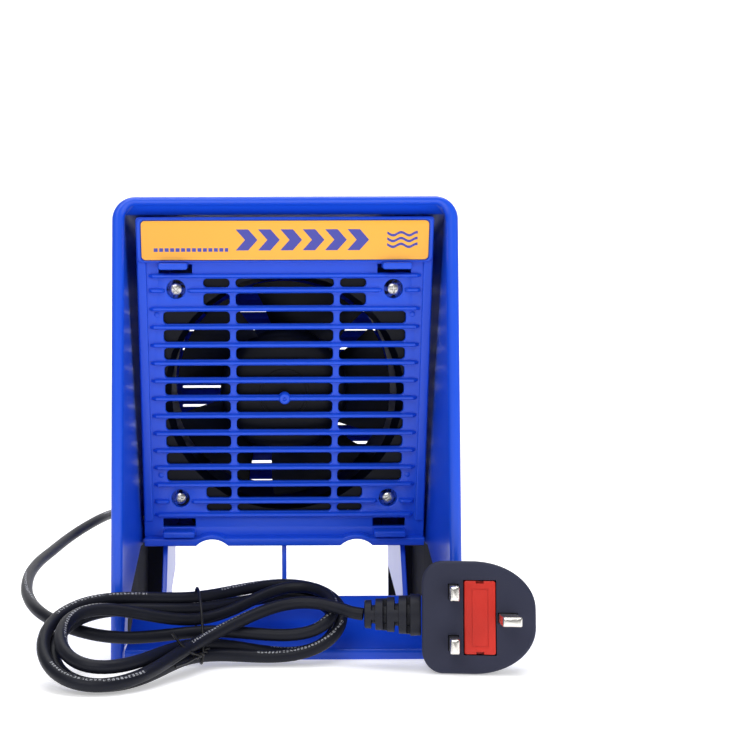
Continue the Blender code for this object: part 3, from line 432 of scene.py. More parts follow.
cord = {
    "diameter": 5.7,
    "spacing": 3.0,
    "lead": [(-48, 104.3, 60), (-48, 114, 59.8), (-52.5, 128, 59.4), (-64, 138.5, 59), (-79, 140, 58.8),
             (-93, 132, 59), (-101, 118, 59.6), (-105.5, 98, 59.4), (-110, 74, 57.6), (-117, 54, 53.2),
             (-122.8, 36, 48.6), (-127, 12, 43.8), (-129.9, -13, 39.6), (-129.8, -36, 35.4),
             (-126, -60, 30.6), (-119.6, -79, 26.6), (-111.5, -93, 23.8)],
    "intoHank": [(-101.5, -101.5, 20.5), (-88, -103, 16), (-72, -99, 13.5), (-56, -95, 14.5)],
    "loop": [(-39, -100, 6.0), (0, -95.5, 4.2), (17, -95, 9), (26, -87.5, 19), (23.5, -73, 26.5),
             (13, -60, 31), (-4, -56, 32.5), (-22, -66, 31), (-42, -81, 29), (-66, -89, 30.5),
             (-88, -96, 30.5), (-101, -109, 25), (-104, -127, 16.5), (-98, -143, 8.5), (-86, -153, 4),
             (-70, -152.5, 3.1), (-55, -131, 4)],
    "waist": 8,                        # the loop's point across from its first
    "exitRun": [(-22, -95, 20), (-6, -87, 26), (9, -85.5, 29), (18.5, -90, 27.8)],
    "tail": [(25.4, -94.4, 25.4), (29.8, -97.1, 24.6), (34.0, -98.3, 24.0)],
    # half turns: side, lane at the start, lane at the end, inset, lift, and how far the end stands forward
    "turns": [("right", 2.2, 3, 3.5, 5, 0), ("left", 3, 1, 5.5, 5, 0), ("right", 1, 4, 2, -4, 0),
              ("left", 4, 0.2, 3, -2, 0), ("right", 0.2, 5, 0, 0, 0), ("left", 5, 0.6, 0, 0, 6.2)],
}


def throughPoints(points, closed=False, per=24):
    # Catmull-Rom curve: each stretch is a cubic whose slopes come from the neighbouring points
    p = np.array(points, float)
    p = np.vstack([p[-1], p, p[:2]]) if closed else np.vstack([2 * p[0] - p[1], p, 2 * p[-1] - p[-2]])
    t = np.linspace(0, 1, per, endpoint=False)[:, None]
    a, b, c, d = (p[k:len(p) - 3 + k, None] for k in range(4))
    dense = 0.5 * (2 * b + (c - a) * t + (2 * a - 5 * b + 4 * c - d) * t ** 2
                   + (3 * b - a - 3 * c + d) * t ** 3)
    return np.vstack([dense.reshape(-1, 3), p[-2:-1]])


def runAlong(points):
    return np.concatenate([[0], np.cumsum(np.linalg.norm(np.diff(points, axis=0), axis=1))])


def evenly(points, step):
    # the same line with points at an even spacing
    run = runAlong(points)
    at = np.linspace(0, run[-1], max(2, int(round(run[-1] / step))) + 1)
    return np.column_stack([np.interp(at, run, points[:, k]) for k in range(3)])


def ease(x):
    # 3x^2 - 2x^3 between 0 and 1
    x = np.clip(x, 0, 1)
    return x * x * (3 - 2 * x)


def frontward(step):
    # square to the step and to X, towards the front, of length 1
    way = np.cross((1, 0, 0), step)
    return way * (-np.sign(way[1]) / np.linalg.norm(way))


def hankRoute():
    # half turns of one pinched loop, each drawn in and lifted from the outermost, in its own lane
    loop = np.array(cord["loop"], float)
    waist = cord["waist"]
    whole = throughPoints(loop, True)
    sides = {"right": evenly(whole[:waist * 24 + 1], 3), "left": evenly(whole[waist * 24:], 3)}
    step = (loop[waist] - loop[0]) / 5
    front = frontward(step)
    spots = [np.array(cord["lead"] + cord["intoHank"], float)]
    for side, start, end, inset, lift, forward in cord["turns"]:
        base = sides[side]
        u = np.linspace(0, 1, len(base))[:, None]
        normal = np.linalg.svd(base - base.mean(0))[2][2]
        normal *= np.sign(normal[2])
        inward = normed(np.cross(normal, normed(np.gradient(base, axis=0))))
        window = ease(u / 0.3) * ease((1 - u) / 0.3)
        first, last = loop[0] + step * start, loop[0] + step * end + front * forward
        turn = (base + (inward * inset + normal * lift) * window
                + (first - base[0]) * (1 - ease(u / 0.4)) + (last - base[-1]) * ease((u - 0.6) / 0.4))
        spots += [first[None], turn[3:-3:4]]
    spots += [last[None], np.array(cord["exitRun"] + cord["tail"], float)]
    return evenly(throughPoints(np.vstack(spots)), cord["spacing"])


def sagOf(line, k):
    # the middle between the points k before and k after, less the point itself; nothing at the ends
    sag = np.zeros_like(line)
    sag[k:-k] = (line[:-2 * k] + line[2 * k:]) / 2 - line[k:-k]
    return sag


def layStrands(route, steps=300, hold=0.006, bends=((1, 0.2), (3, 0.06)), room=1.03):
    # strands that come too near push each other apart, bends are eased over one and three points,
    # the bench holds them up, and all are drawn a little towards where they started
    wide = cord["diameter"]
    first = int(np.argmin(np.linalg.norm(route - np.array(cord["lead"][-3]), axis=1)))
    start = route[first:]
    now = start.copy()
    fixed = np.zeros((len(now), 1), bool)
    fixed[:3] = fixed[-3:] = True
    for step in range(steps):
        if step % 6 == 0:
            i, j = np.triu_indices(len(now), 5)
            near = ((now[i] - now[j]) ** 2).sum(1) < (wide * 1.6) ** 2
            i, j = i[near], j[near]
        apart = now[i] - now[j]
        far = np.linalg.norm(apart, axis=1)
        push = apart * (np.clip(wide * room - far, 0, None) / far * 0.35)[:, None]
        new = now.copy()
        np.add.at(new, i, push)
        np.add.at(new, j, -push)
        for k, share in bends:
            new -= sagOf(sagOf(new, k), k) * share
        new += (start - new) * hold
        new[:, 2] = np.maximum(new[:, 2], wide / 2 + 0.05)
        now = np.where(fixed, start, new)
    return np.vstack([route[:first], now])


def tubeAlong(route, radius, sides):
    # a circle carried along the route: side times the cosine and up times the sine, with blunted ends
    along = np.gradient(route, axis=0)
    side = normed(np.cross(along, (0.12, 0.2, 1.0)))
    up = np.cross(side, normed(along))
    a = fullTurn(sides)[:, None]
    rings = route[:, None] + radius * (side[:, None] * np.cos(a) + up[:, None] * np.sin(a))
    ends = [route[k] + (rings[k] - route[k]) * 0.6 for k in (0, -1)]
    return lofted(np.concatenate([ends[:1], rings, ends[1:]]))


def printedJacket():
    # satin jacket with rows of short pale marks along one side, in groups that fade in and out
    f = Finish("cord_jacket", Specular_IOR_Level=0.18)
    spot = f.chart("run")
    u, v = f.split(spot)[:2]
    mark = (u / 0.0017).math("FRACT") < 0.6
    group = (u / 0.083).math("FRACT") < 0.55
    band = (v - 0.25 - (u * (2 * pi / 0.29)).math("SINE") * 0.13).math("ABSOLUTE") < 0.034
    worn = f.noise(1.0, 2, f.stretched(spot, (700, 30, 1))) > 0.47
    base = f.mixed(f.noise(60, 2), (0.006, 0.007, 0.012), (0.01, 0.011, 0.018))
    f.surface(Base_Color=f.mixed(mark * group * band * worn * 0.8, base, (0.36, 0.37, 0.4)),
              Roughness=f.noise(400, 2) * 0.1 + 0.38, Normal=f.bumped(f.noise(900, 2), 0.00003, 0.5))
    return f.material


def makeCord():
    # the tube's corners take the run in metres and the share of a turn as their UV
    route = layStrands(hankRoute())
    sides = 18
    mesh = meshOf("mains_cord", [tubeAlong(route, cord["diameter"] / 2, sides)])
    run = runAlong(route) * mm
    run = np.concatenate([run[:1], run, run[-1:]])
    corner = cornersOf(mesh)
    share = (corner % sides) / sides
    # the face that closes the turn takes its last line at 1 and not at 0
    starts, totals = np.empty((2, len(mesh.polygons)), np.int32)
    mesh.polygons.foreach_get("loop_start", starts)
    mesh.polygons.foreach_get("loop_total", totals)
    top = np.repeat(np.maximum.reduceat(share, starts), totals)
    writeMap(mesh, "run", run[corner // sides], np.where((top > 0.9) & (share == 0), 1.0, share))
    piece = settle("mains_cord", mesh, printedJacket(),
                   stands=("cord_lead", "cord_hank", "cord_tail"), smooth=60)
    return piece, route * mm


cordPiece, cordPath = makeCord()


def makeTie():
    # an ellipse of wire round the hank's waist, two ends led from its knot and two strands wound as a helix
    loop = np.array(cord["loop"], float)
    low, high = loop[0], loop[cord["waist"]]
    middle, up = (low + high) / 2, (high - low) / np.linalg.norm(high - low)
    across = frontward(up)
    reach, width = np.linalg.norm(high - low) / 2 + 4.2, 9.2
    a = fullTurn(64)[:, None]
    ring = middle + up * reach * np.cos(a) + across * (width * np.sin(a) + 1.6)
    ring[:, 0] += 1.6 * np.sin(a[:, 0])
    ring[:, 2] = np.maximum(ring[:, 2], 0.8)
    knot = middle - up * (reach - 1) + across * 6
    knot[2] = max(knot[2], 1.6)
    along = normed(np.roll(ring, -1, 0) - np.roll(ring, 1, 0))
    side, b = np.array((1.0, 0, 0)), fullTurn(8)[:, None]
    wire = ring[:, None] + 0.6 * (side * np.cos(b) + np.cross(side, along)[:, None] * np.sin(b))
    parts = [lofted(wire, closed=True)]
    onBench = [(0, 0, 0), (-3, -7, -0.2), (-6, -14, -0.7), (-10, -21, -0.8)]
    raised = [(0, 0, 0), (-3.5, -7, 2.2), (-8, -11, 6.5), (-12, -10.5, 11.5)]
    for spots in (onBench, raised):
        parts.append(tubeAlong(evenly(throughPoints(knot + spots), 1.2), 0.62, 8))
    twist = evenly(throughPoints([knot + (2.5, 5, 2), knot + (0.5, 1, 0.4), knot + (-2.2, -4.5, 0)]), 0.5)
    spin = np.linspace(0, 4 * pi, len(twist))
    for way in (0, pi):
        wrap = twist + 0.7 * np.column_stack([np.cos(spin + way), 0 * spin, np.sin(spin + way)])
        parts.append(tubeAlong(wrap, 0.6, 8))
    return settle("hank_tie", parts, paint["tie"],
                  stands=("twist_tie",), smooth=60)


tiePiece = makeTie()

hood = {"half": 83.0, "taper": 1.5, "height": 218.0, "front": -80.0, "seam": 20.0, "corner": 11.0,
        "wall": 2.4, "rimSide": 5.8, "rimTop": 4.2, "throat": 72.4, "throatTop": 7.1, "throatWall": 2.0, "mouth": 50.7}


def caseHalf(z):
    return hood["half"] - hood["taper"] * z / hood["height"]


def throatEnd(z):
    # the inner wall ends behind the panel, and below the panel on a diagonal to the front
    behind = panelMiddle[1] - math.tan(tilt) * (z - panelMiddle[2]) + 4
    below = np.maximum(-36 - (hood["mouth"] - z) * 1.13, -74)
    return np.where(z >= hood["mouth"], behind, below)


def throatHalf(z):
    # half width at the inner wall's rear edge, which stays in one plane as the wall shortens
    front, start = hood["front"] + 3, hood["half"] - hood["rimSide"]
    lean = (start - hood["throat"]) / (throatEnd(np.array(52.0)) - front)
    return np.maximum(hood["throat"], start - lean * (throatEnd(z) - front))


def archLine(side, top, depth, follow=None):
    # up one side, round the corner as a quarter ellipse, over the top and down the other side
    levels = np.array([0, 5, 12, 19, 26, 32, 38, 44, 50.2, 50.7, 62, 76, 90, 110, 130, 150, 170, 190,
                       hood["height"] - hood["corner"]])
    x = caseHalf(levels) - side if follow is None else throatHalf(levels) + follow
    rise = max(hood["corner"] - side, 0)
    a = np.linspace(0, pi / 2, 17)[1:]
    cornerX = x[-1] - rise + rise * np.cos(a)
    cornerZ = levels[-1] + (hood["corner"] - top) * np.sin(a)
    flat = cornerX[-1] * (1 - np.linspace(0, 1, 9)[1:])
    x = np.concatenate([x, cornerX, flat])
    z = np.concatenate([levels, cornerZ, np.full(8, cornerZ[-1])])
    x, z = np.concatenate([-x, x[::-1][1:]]), np.concatenate([z, z[::-1][1:]])
    return gathered(x, depth(z) if callable(depth) else float(depth), z)


def makeHood():
    # one wall section carried over the arch: outer wall, half-round rim, flared inner wall and the way back
    front, wall = hood["front"], hood["wall"]
    lines = [archLine(0, 0, y) for y in np.linspace(hood["seam"], front + 3, 8)]
    for a in np.linspace(0, pi, 13)[1:]:
        share = (1 - math.cos(a)) / 2
        lines.append(archLine(hood["rimSide"] * share, hood["rimTop"] * share, front + 3 - 3 * math.sin(a)))
    inner, rear = lines[-1], archLine(hood["half"] - hood["throat"], hood["throatTop"], throatEnd, 0.0)
    for t in np.linspace(0, 1, 9)[1:]:
        lines.append(inner * (1 - t) + rear * t)
    back = hood["throatWall"]
    lines.append(archLine(hood["half"] - hood["throat"] - back, hood["throatTop"] - back, throatEnd, back))
    lines += [archLine(4.4, 3.6, front + 4.6), archLine(wall, wall, front + 4.6),
              archLine(wall, wall, hood["seam"])]
    rings = np.array(lines)
    rows, cols = rings.shape[:2]
    faces = gridFaces(rows, cols, True).tolist()
    faces += [[r * cols for r in range(rows)], [r * cols + cols - 1 for r in range(rows)]]
    settle("hood", [(rings, faces)], paint["blue"], stands=("hood_shell",), smooth=40)


makeHood()
for name, edge in (("rear_shell", 0.6), ("base_frame", 0.45), ("bottom_cover", 0.5)):
    refined(name.replace("_", "") + "Fine", name, paint["blue"], edge)
print("housing done")

panel = {"half": 71.0, "low": -76.6, "high": 86.3, "thick": 2.6, "edge": 0.35, "pitch": 8.8, "endPitch": 7.0,
         "drop": 1.0, "ribThick": 2.3, "ribProud": 2.5, "ribHalf": 65.5, "screw": 52.4, "labelLow": 65.2,
         "notch": 36.6, "notchRadius": 11.0, "lip": 4.3, "lipProud": 5.0, "slotRound": 1.9}
columns = [(-58.9, -26.6), (-23.7, 23.7), (26.6, 58.9)]
shortColumns = [(-39.3, -26.6), (-23.7, 23.7), (26.6, 39.3)]
fourCorners = [(-1, -1), (-1, 1), (1, -1), (1, 1)]


def ribLevels():
    last = 6 * panel["pitch"] + panel["endPitch"]
    return np.array([-last] + [k * panel["pitch"] for k in range(-6, 7)] + [last]) - panel["drop"]


def slotOutlines(levels, grow):
    # rounded slots between neighbouring levels, grown by the width of their rounded edge
    outlines = []
    last = len(levels) - 2
    for row, (low, high) in enumerate(zip(levels[:-1], levels[1:])):
        for x0, x1 in (shortColumns if row in (0, 1, last - 1, last) else columns):
            outlines.append(roundBox(x0 - grow, x1 + grow, low + 1.4 - grow, high - 1.4 + grow,
                                     panel["slotRound"] + grow))
    return outlines


def circle(x, z, r, sides=40):
    a = fullTurn(sides)
    return np.column_stack([x + r * np.cos(a), z + r * np.sin(a)])


def notched(x, level, grow):
    # a straight edge at a level, raised to a circle's upper arc at the two notches
    away = np.abs(np.abs(x) - panel["notch"])
    reach = (panel["notchRadius"] + grow) ** 2 - away ** 2
    arc = panel["low"] - 7.6 + np.sqrt(np.maximum(reach, 0))
    return np.where(reach > 0, np.maximum(level, arc), level)


def bandOver(x, lower, upper, y0, y1, r):
    # a bar that follows x: its section runs forward along the lower edge and back along the upper one,
    # and both front corners are quarter circles
    a = np.linspace(0, pi / 2, 4)
    inset = np.concatenate([[0], r * (1 - np.cos(a))])
    depth = np.concatenate([[y1], y0 + r * (1 - np.sin(a))])
    height = np.hstack([lower[:, None] + inset, upper[:, None] - inset[::-1]])
    return lofted(gathered(x[:, None], np.concatenate([depth, depth[::-1]]), height))


def makePanel():
    # a pierced plate, ribs whose section shrinks along a quarter circle at both ends, and pillow blocks
    e = panel["edge"]
    levels = ribLevels()
    x = np.linspace(-panel["half"] + e, panel["half"] - e, 285)
    bottom = np.column_stack([x, notched(x, panel["low"], 0) + e])
    top = roundBox(-panel["half"] + e, panel["half"] - e, 0, panel["high"] - e, 1.2)
    outer = np.vstack([bottom, top[14:]])
    holes = slotOutlines(levels, e)
    holes += [circle(sx * panel["screw"], sz * panel["screw"], 4.6 + e) for sx, sz in fourCorners]
    holes += [roundBox(s * 53.2 - 8.2 - e, s * 53.2 + 8.2 + e, -67.6 - e, -63.0 + e, 0.8) for s in (-1, 1)]
    holes += [roundBox(*sorted((s * 60.9, s * 44.2)), 59.9 - e, 64.6, 0.6) for s in (-1, 1)]
    parts = [sheetOf([outer, *holes], panel["thick"], e)]
    reach, gap = panel["ribHalf"], (panel["screw"] - 5.4, panel["screw"] + 5.4)
    t, proud = panel["ribThick"] / 2, panel["ribProud"]
    section = np.array([(1.2, -t - 0.15), (-0.2, -t), (-proud * 0.55, -t * 0.86), (-proud * 0.86, -t * 0.7),
                        (-proud, -t * 0.34), (-proud, t * 0.34), (-proud * 0.86, t * 0.7),
                        (-proud * 0.55, t * 0.86), (-0.2, t), (1.2, t + 0.15)])
    for k, z in enumerate(levels):
        spans = [(-reach, reach)]
        if k in (1, len(levels) - 2):      # these two stop short of the screw wells
            spans = [(-reach, -gap[1]), (-gap[0], gap[0]), (gap[1], reach)]
        for start, end in spans:
            across = np.linspace(start, end, 61)
            inside = np.minimum(np.minimum(across - start, end - across) / 2.4, 1)
            fade = np.sqrt(np.clip(1 - (1 - inside) ** 2, 0.02, 1))[:, None]
            y = np.where(section[:, 0] < 0, section[:, 0] * fade, section[:, 0])
            parts.append(lofted(gathered(across[:, None], y, z + section[:, 1] * (0.55 + 0.45 * fade))))
    for side in (-1, 1):
        x0, x1 = sorted((side * 66.4, side * 70.6))
        parts.append(pillow((x0, -1.1, levels[0] - 3.4), (x1, 1.2, panel["labelLow"] + 1), 0.5))
        for z in (40.2, -40.2):
            dot = turnedAbout([(0, -0.45), (1.0, -0.45), (1.35, -0.2), (1.4, 0.4), (0, 0.4)], 24)
            parts.append(moved(dot, (side * 61.9, 0, z)))
    x = np.linspace(-70.6, 70.6, 285)
    parts.append(bandOver(x, notched(x, panel["low"] + 0.3, 0.3),
                          notched(x, panel["low"] + panel["lip"], 2.7), -panel["lipProud"], 1.2, 0.7))
    for side in (-1, 1):
        for x0, x1, low, high, proud in ((46.4, 60.2, 62.1, 65.2, 6.6), (45.2, 61.2, -71.3, -68.3, 6.9)):
            a, b = sorted((side * x0, side * x1))
            parts.append(pillow((a, -proud, low), (b, 1.4, high), 0.6))
    bar = roundBox(-70.4 + 0.5, 70.4 - 0.5, panel["labelLow"] + 0.5, panel["high"] - 0.9, 2.2)
    seat = roundBox(-68.6 - 0.5, 68.6 + 0.5, panel["labelLow"] + 0.9 - 0.5, panel["high"] - 1.3 + 0.5, 2.4)
    parts.append(moved(sheetOf([bar, seat], 3.4, 0.5), (0, -2.4, 0)))
    parts.append(pillow((-69.4, -1.2, panel["labelLow"] + 0.4), (69.4, 1.0, panel["high"] - 0.8), 0.2))
    boss = [(0, -2.1), (0.6, -2.2), (0.9, -2.9), (1.5, -3.1), (2.3, -2.9), (2.8, -2.2), (3.0, 1), (0, 1)]
    parts.append(moved(turnedAbout(boss, 40), (0, 0, -panel["drop"])))
    well = turnedAbout([(4.9, 0.3), (4.6, 0.6), (4.55, 2.9), (2.4, 2.9), (2.4, 3.6), (5.4, 3.6), (5.4, 0.3)],
                       40)
    for sx, sz in fourCorners:             # each well is a ring, closed on itself and open in the middle
        parts.append(moved((well[0], gridFaces(7, 40, True, True).tolist()),
                           (sx * panel["screw"], 0, sz * panel["screw"])))
    parts = [placed(part, onPanel) for part in parts]
    settle("louvredPanel", parts, paint["panelBlue"], stands=("front_panel",), smooth=38)


makePanel()


def labelFinish():
    # yellow printed plate: blue chevrons that point along the air flow, a wave mark and a row of fine bars
    f = Finish("label_print", Coat_Weight=0.2, Coat_Roughness=0.15)
    u, v = f.split(f.chart("flat"))[:2]
    run = u + (v - 0.2).math("ABSOLUTE") * 0.9 + 19
    arrows = ((run / 10.6).math("FRACT") < 0.56) * (run > 0) * (run < 63.6)
    arrows = arrows * ((v - 0.2).math("ABSOLUTE") < 4.9)
    ripple = v - (u * (2 * pi / 7.6)).math("SINE") * 0.7
    lines = [(ripple - (2.9 - 2.7 * k)).math("ABSOLUTE") < 0.62 for k in range(3)]
    waves = (lines[0] + lines[1] + lines[2]).math("MINIMUM", 1.0) * (u > 48.5) * (u < 63)
    bars = ((u / 2.6).math("FRACT") < 0.72) * (u > -63) * (u < -27) * ((v + 4.4).math("ABSOLUTE") < 0.85)
    ink = (arrows + waves + bars).math("MINIMUM", 1.0)
    base = f.mixed(f.noise(18, 2), (0.9, 0.4, 0.03), (0.94, 0.44, 0.045))
    f.surface(Base_Color=f.mixed(ink, base, (0.04, 0.045, 0.34)), Roughness=ink * -0.08 + 0.4,
              Normal=f.bumped(ink * 0.5 + f.noise(1400, 2) * 0.3, 0.00004, 0.6))
    return f.material


def makeLabel():
    # a rounded plate; its UV is the way in mm across and up the panel from the plate's middle
    low, high = panel["labelLow"], panel["high"]
    middle = (low + high) / 2 - 0.2
    outline = roundBox(-68.3 + 0.15, 68.3 - 0.15, middle - 9.1 + 0.15, middle + 9.1 - 0.15, 1.8, 8)
    part = moved(sheetOf([outline], 0.5, 0.15), (0, -2.3, 0))
    mesh = meshOf("label", [placed(part, onPanel)])
    corner = cornersOf(mesh)
    away = spotsIn(mesh) - panelMiddle
    up = away[:, 1] * -math.sin(tilt) + away[:, 2] * math.cos(tilt) - middle
    writeMap(mesh, "flat", away[corner, 0], up[corner])
    settle("printedLabel", mesh, labelFinish(), stands=("label_plate",))


makeLabel()
print("panel done")


def screwPart(head, shank, reach, sides=64):
    # a domed head whose top sinks along a cross: in full where the smaller of |u| and |v| is small
    r = np.concatenate([np.linspace(0.02, 1, 18) * head * 0.97, [head, head, shank, shank, 0.02]])
    h = np.concatenate([-2.0 + 0.9 * np.linspace(0, 1, 18) ** 2.6, [-0.9, 0, 0, reach, reach]])
    a = fullTurn(sides)
    u, v = r[:, None] * np.cos(a), r[:, None] * np.sin(a)
    arm = np.minimum(np.abs(u), np.abs(v))
    far = np.maximum(np.abs(u), np.abs(v))
    sink = ease((0.46 - arm) / 0.16) * ease((head * 0.62 - far) / 0.3) * (np.arange(len(r)) < 18)[:, None]
    y = h[:, None] + sink * (1.15 - 0.35 * far / head)
    return lofted(gathered(u, y, v))


def turnedBy(part, angle):
    x, y, z = part[0].T
    x, z = spun(x, z, angle)
    return gathered(x, y, z), part[1]


for k, (sx, sz) in enumerate([(-1, -1), (1, -1), (-1, 1), (1, 1)]):
    part = moved(turnedBy(screwPart(2.9, 1.7, 45), 0.5 + 0.9 * k),
                 (sx * panel["screw"], 0.7, sz * panel["screw"]))
    settle(f"fanScrew{k + 1}", [placed(part, onPanel)], paint["steel"],
           stands=(f"fan_screw_{k + 1}",))


def rearScrew(name, node, spot, head, shank, reach, angle):
    # the same screw mirrored in depth, with its head to the back
    part = turnedBy(screwPart(head, shank, reach), angle)
    part = (part[0] * (1, -1, 1) + np.array(spot), part[1])
    settle(name, [part], paint["steel"], stands=(node,))


for k, (x, z) in enumerate(((-75, 62), (75, 62), (-74, 194), (74, 194))):
    rearScrew(f"caseScrew{k + 1}", f"case_screw_{k + 1}", (x, 30.3, z), 2.8, 1.6, 24, 0.3 + k)
grilleScrews = [(-65.2, 56), (-65.2, 202), (65.2, 56), (65.2, 202)]
for k, (x, z) in enumerate(grilleScrews):
    rearScrew(f"grilleScrew{k + 1}", f"grille_screw_{k + 1}", (x, 76.3, z), 2.9, 1.6, 2, 0.7 * k)

fan = {"hub": 32.0, "tip": 54.3, "blades": 5, "chord": math.radians(58), "thick": 1.7}


def makeImpeller():
    # hub: a cup with a domed edge; blade: angle, depth and thickness are smooth in radius and in chord
    hub = [(0, 6.2), (8, 6.1), (20, 6.3), (27, 6.9), (30, 8.0), (31.4, 9.6), (32, 12), (32, 34), (29.6, 34),
           (29.6, 10), (26, 9), (0, 9)]
    parts = [turnedAbout(hub, 72)]
    parts.append(turnedAbout([(11, 6.25), (11.2, 5.8), (12.4, 5.8), (12.6, 6.3), (12.6, 7), (11, 7)], 60))
    r = np.linspace(fan["hub"] - 1, fan["tip"], 15)[:, None]
    e = np.concatenate([np.linspace(-1, 1, 21), np.linspace(1, -1, 21)[1:-1]])[None]
    way = np.concatenate([np.ones(21), -np.ones(19)])[None]
    out = (r - fan["hub"]) / (fan["tip"] - fan["hub"])
    pitch = np.radians(38 - 10 * out)
    thick = fan["thick"] / 2 * np.sqrt(np.clip(1 - e ** 4, 0, 1)) * (1 - 0.35 * out)
    for k in range(fan["blades"]):
        a = 2 * pi * k / fan["blades"] + e * fan["chord"] / 2 + 0.10 * out
        lift = e * np.tan(pitch) * (fan["chord"] / 2) * 27.2 + 1.3 * (1 - e ** 2) * out
        y = 20 + lift - way * thick
        parts.append(lofted(gathered(r * np.cos(a), y, r * np.sin(a))))
    parts = [placed(part, onPanel) for part in parts]
    settle("fanWheel", parts, paint["fanBlack"], "rotor", ("impeller",), 40)


makeImpeller()
refined("fanFrameFine", "fan_frame", paint["fanBlack"], 0.5)


# CAD nodes that keep their shape and get a finish
kept = {"iron": ("stator_core", "rotor_ring"), "copper": ("winding_front", "winding_rear"),
        "brass": ("bearing_front", "bearing_rear", "switch_blade_1", "switch_blade_2"),
        "steel": ("fan_shaft",), "brown": ("lead_live", "lead_switched"), "leadBlue": ("lead_neutral",)}
for finish, names in kept.items():
    for name in names:
        nodes[name].data.materials.clear()
        nodes[name].data.materials.append(paint[finish])
for k in range(1, 5):
    refined(f"fanNut{k}", f"fan_nut_{k}", paint["steel"], 0.35)
refined("terminalBlock", "fan_terminal_block", paint["black"], 0.6)
print("fan done")

rear = {"half": 69.0, "low": 50.5, "high": 208.0, "front": 74.0, "thick": 2.0, "rows": 12, "first": 65.0,
        "pitch": 11.5, "opening": 5.0, "switch": (45.0, 66.0), "gland": (-48.0, 60.0), "tip": 104.0}


def makeGrille():
    # a pierced plate and, behind each slot, a straight vane: one section carried across the slot
    e = panel["edge"]
    outer = roundBox(-rear["half"] + e, rear["half"] - e, rear["low"] + e, rear["high"] - e, 5 - e)
    holes, vanes = [], []
    for row in range(rear["rows"]):
        low = rear["first"] + rear["pitch"] * row
        high = low + rear["opening"]
        # a vane's section: up and inwards from the slot's lower edge, leaving a thin slit at the top
        vane = rounding([(75.7, low - 0.8), (75.7, low + 0.9), (71, high - 1.3), (71, high - 2.5),
                         (74.4, low - 0.8)], (0.1, 0.3, 0.3, 0.3, 0.1), 3)
        for x0, x1 in (columns if row else columns[1:2]):
            holes.append(roundBox(x0 - e, x1 + e, low - e, high + e, 0.9))
            vanes.append(lofted(gathered(np.array([[x0 - 0.5], [x1 + 0.5]]), vane[:, 0], vane[:, 1])))
    x, z = rear["switch"]
    holes.append(roundBox(x - 9.9 - e, x + 9.9 + e, z - 6.7 - e, z + 6.7 + e, 1.0))
    holes.append(circle(*rear["gland"], 6.3 + e))
    holes += [circle(x, z, 1.9 + e, 24) for x, z in grilleScrews]
    parts = [moved(sheetOf([outer, *holes], rear["thick"], e), (0, rear["front"], 0)), *vanes]
    settle("outletGrille", parts, paint["panelBlue"], stands=("rear_grille",))


makeGrille()
refined("switchBody", "switch_body", paint["black"], 0.5)
refined("switchRocker", "switch_rocker", paint["black"], 0.45, "rocker", 3)


def makeGland():
    # flange and taper with gaps that alternate from side to side: the radius dips where a gap is cut
    x, z = rear["gland"]
    outer = rear["front"] + rear["thick"] + 0.3
    start, tip = outer + 3.4, rear["tip"]
    y = np.concatenate([[66, 66, 68, outer, outer, outer + 0.5, outer + 1.8, outer + 2.3, start - 0.2],
                        np.linspace(start, tip, 90)])
    r = np.concatenate([[0.05, 4.6, 5.9, 5.9, 7.7, 8.2, 8.2, 7.7, 5.8], np.linspace(5.5, 3.9, 90)])
    a = fullTurn(48)
    run = (y - start) / (tip - start) * 7
    inside = ((run > 0.5) & (run < 6.7))[:, None]
    gap = ease((np.abs(run % 1 - 0.5)[:, None] - 0.28) / 0.06)
    free = ease((np.abs(np.cos(a + (np.floor(run + 0.5) % 2)[:, None] * pi / 2)) - 0.25) / 0.12)
    radius = r[:, None] - inside * gap * free * (r[:, None] - 3.3)
    spots = gathered(x + radius * np.cos(a), y[:, None], z + radius * np.sin(a))
    return settle("cordGland", [lofted(spots)], paint["boot"],
                  stands=("cord_gland",), smooth=45)


glandPiece = makeGland()
print("rear done")

plug = {"half": 24.5, "earthRound": (27.0, 20.5), "bootRound": (9.0, 10.0), "drop": 11.1}


def plugRing(inset):
    # four quarter ellipses, long ones on the earth side
    h, a = plug["half"] - inset, np.linspace(0, pi / 2, 25)
    wide, tall = np.array(plug["earthRound"]) - inset * 0.5
    short, low = np.array(plug["bootRound"]) - inset * 0.4
    x = np.concatenate([h - wide + wide * np.sin(a), -h + short - short * np.sin(a[::-1])])
    z = np.concatenate([-h + tall - tall * np.cos(a), -h + low - low * np.cos(a[::-1])])
    lower = np.column_stack([x, z])[np.r_[25:50, 0:25]]
    ring = np.vstack([lower, (lower * (1, -1))[::-1]])
    return ring + (0, plug["half"])


def seated(mesh):
    # the mesh moved from the plug's own frame to its place
    mesh.vertices.foreach_set("co", (onPlug(spotsIn(mesh)) * mm).astype(np.float32).ravel())
    return mesh


def makePlugBody():
    # face edge rounded as a quarter circle, nearly straight sides, and a back drawn in as a quarter ellipse
    a = np.linspace(0, pi / 2, 7)
    depth = np.concatenate([1.4 * (1 - np.cos(a)), [6, 10], 12 + 10 * np.sin(a)])
    inset = np.concatenate([1.4 * (1 - np.sin(a)), [0.1, 0.25], 0.4 + 7.4 * (1 - np.cos(a))])
    mid = plug["half"]
    cuts = [blockOf((-6.6, -3, mid - 16.3), (7.6, 10.2, mid + 16.3))]
    for _, x, dz, sx, sz, _, _ in pinSeats.values():
        wide, tall, z = sx / 2 + 0.3, sz / 2 + 0.3, mid + dz
        cuts.append(blockOf((x - wide, -3, z - tall), (x + wide, 5, z + tall)))
    body = carved(upright(map(plugRing, inset), depth), cuts, "plugBody")
    return settle("plugBody", seated(body), paint["charcoal"], stands=("plug_body",),
                  smooth=30)


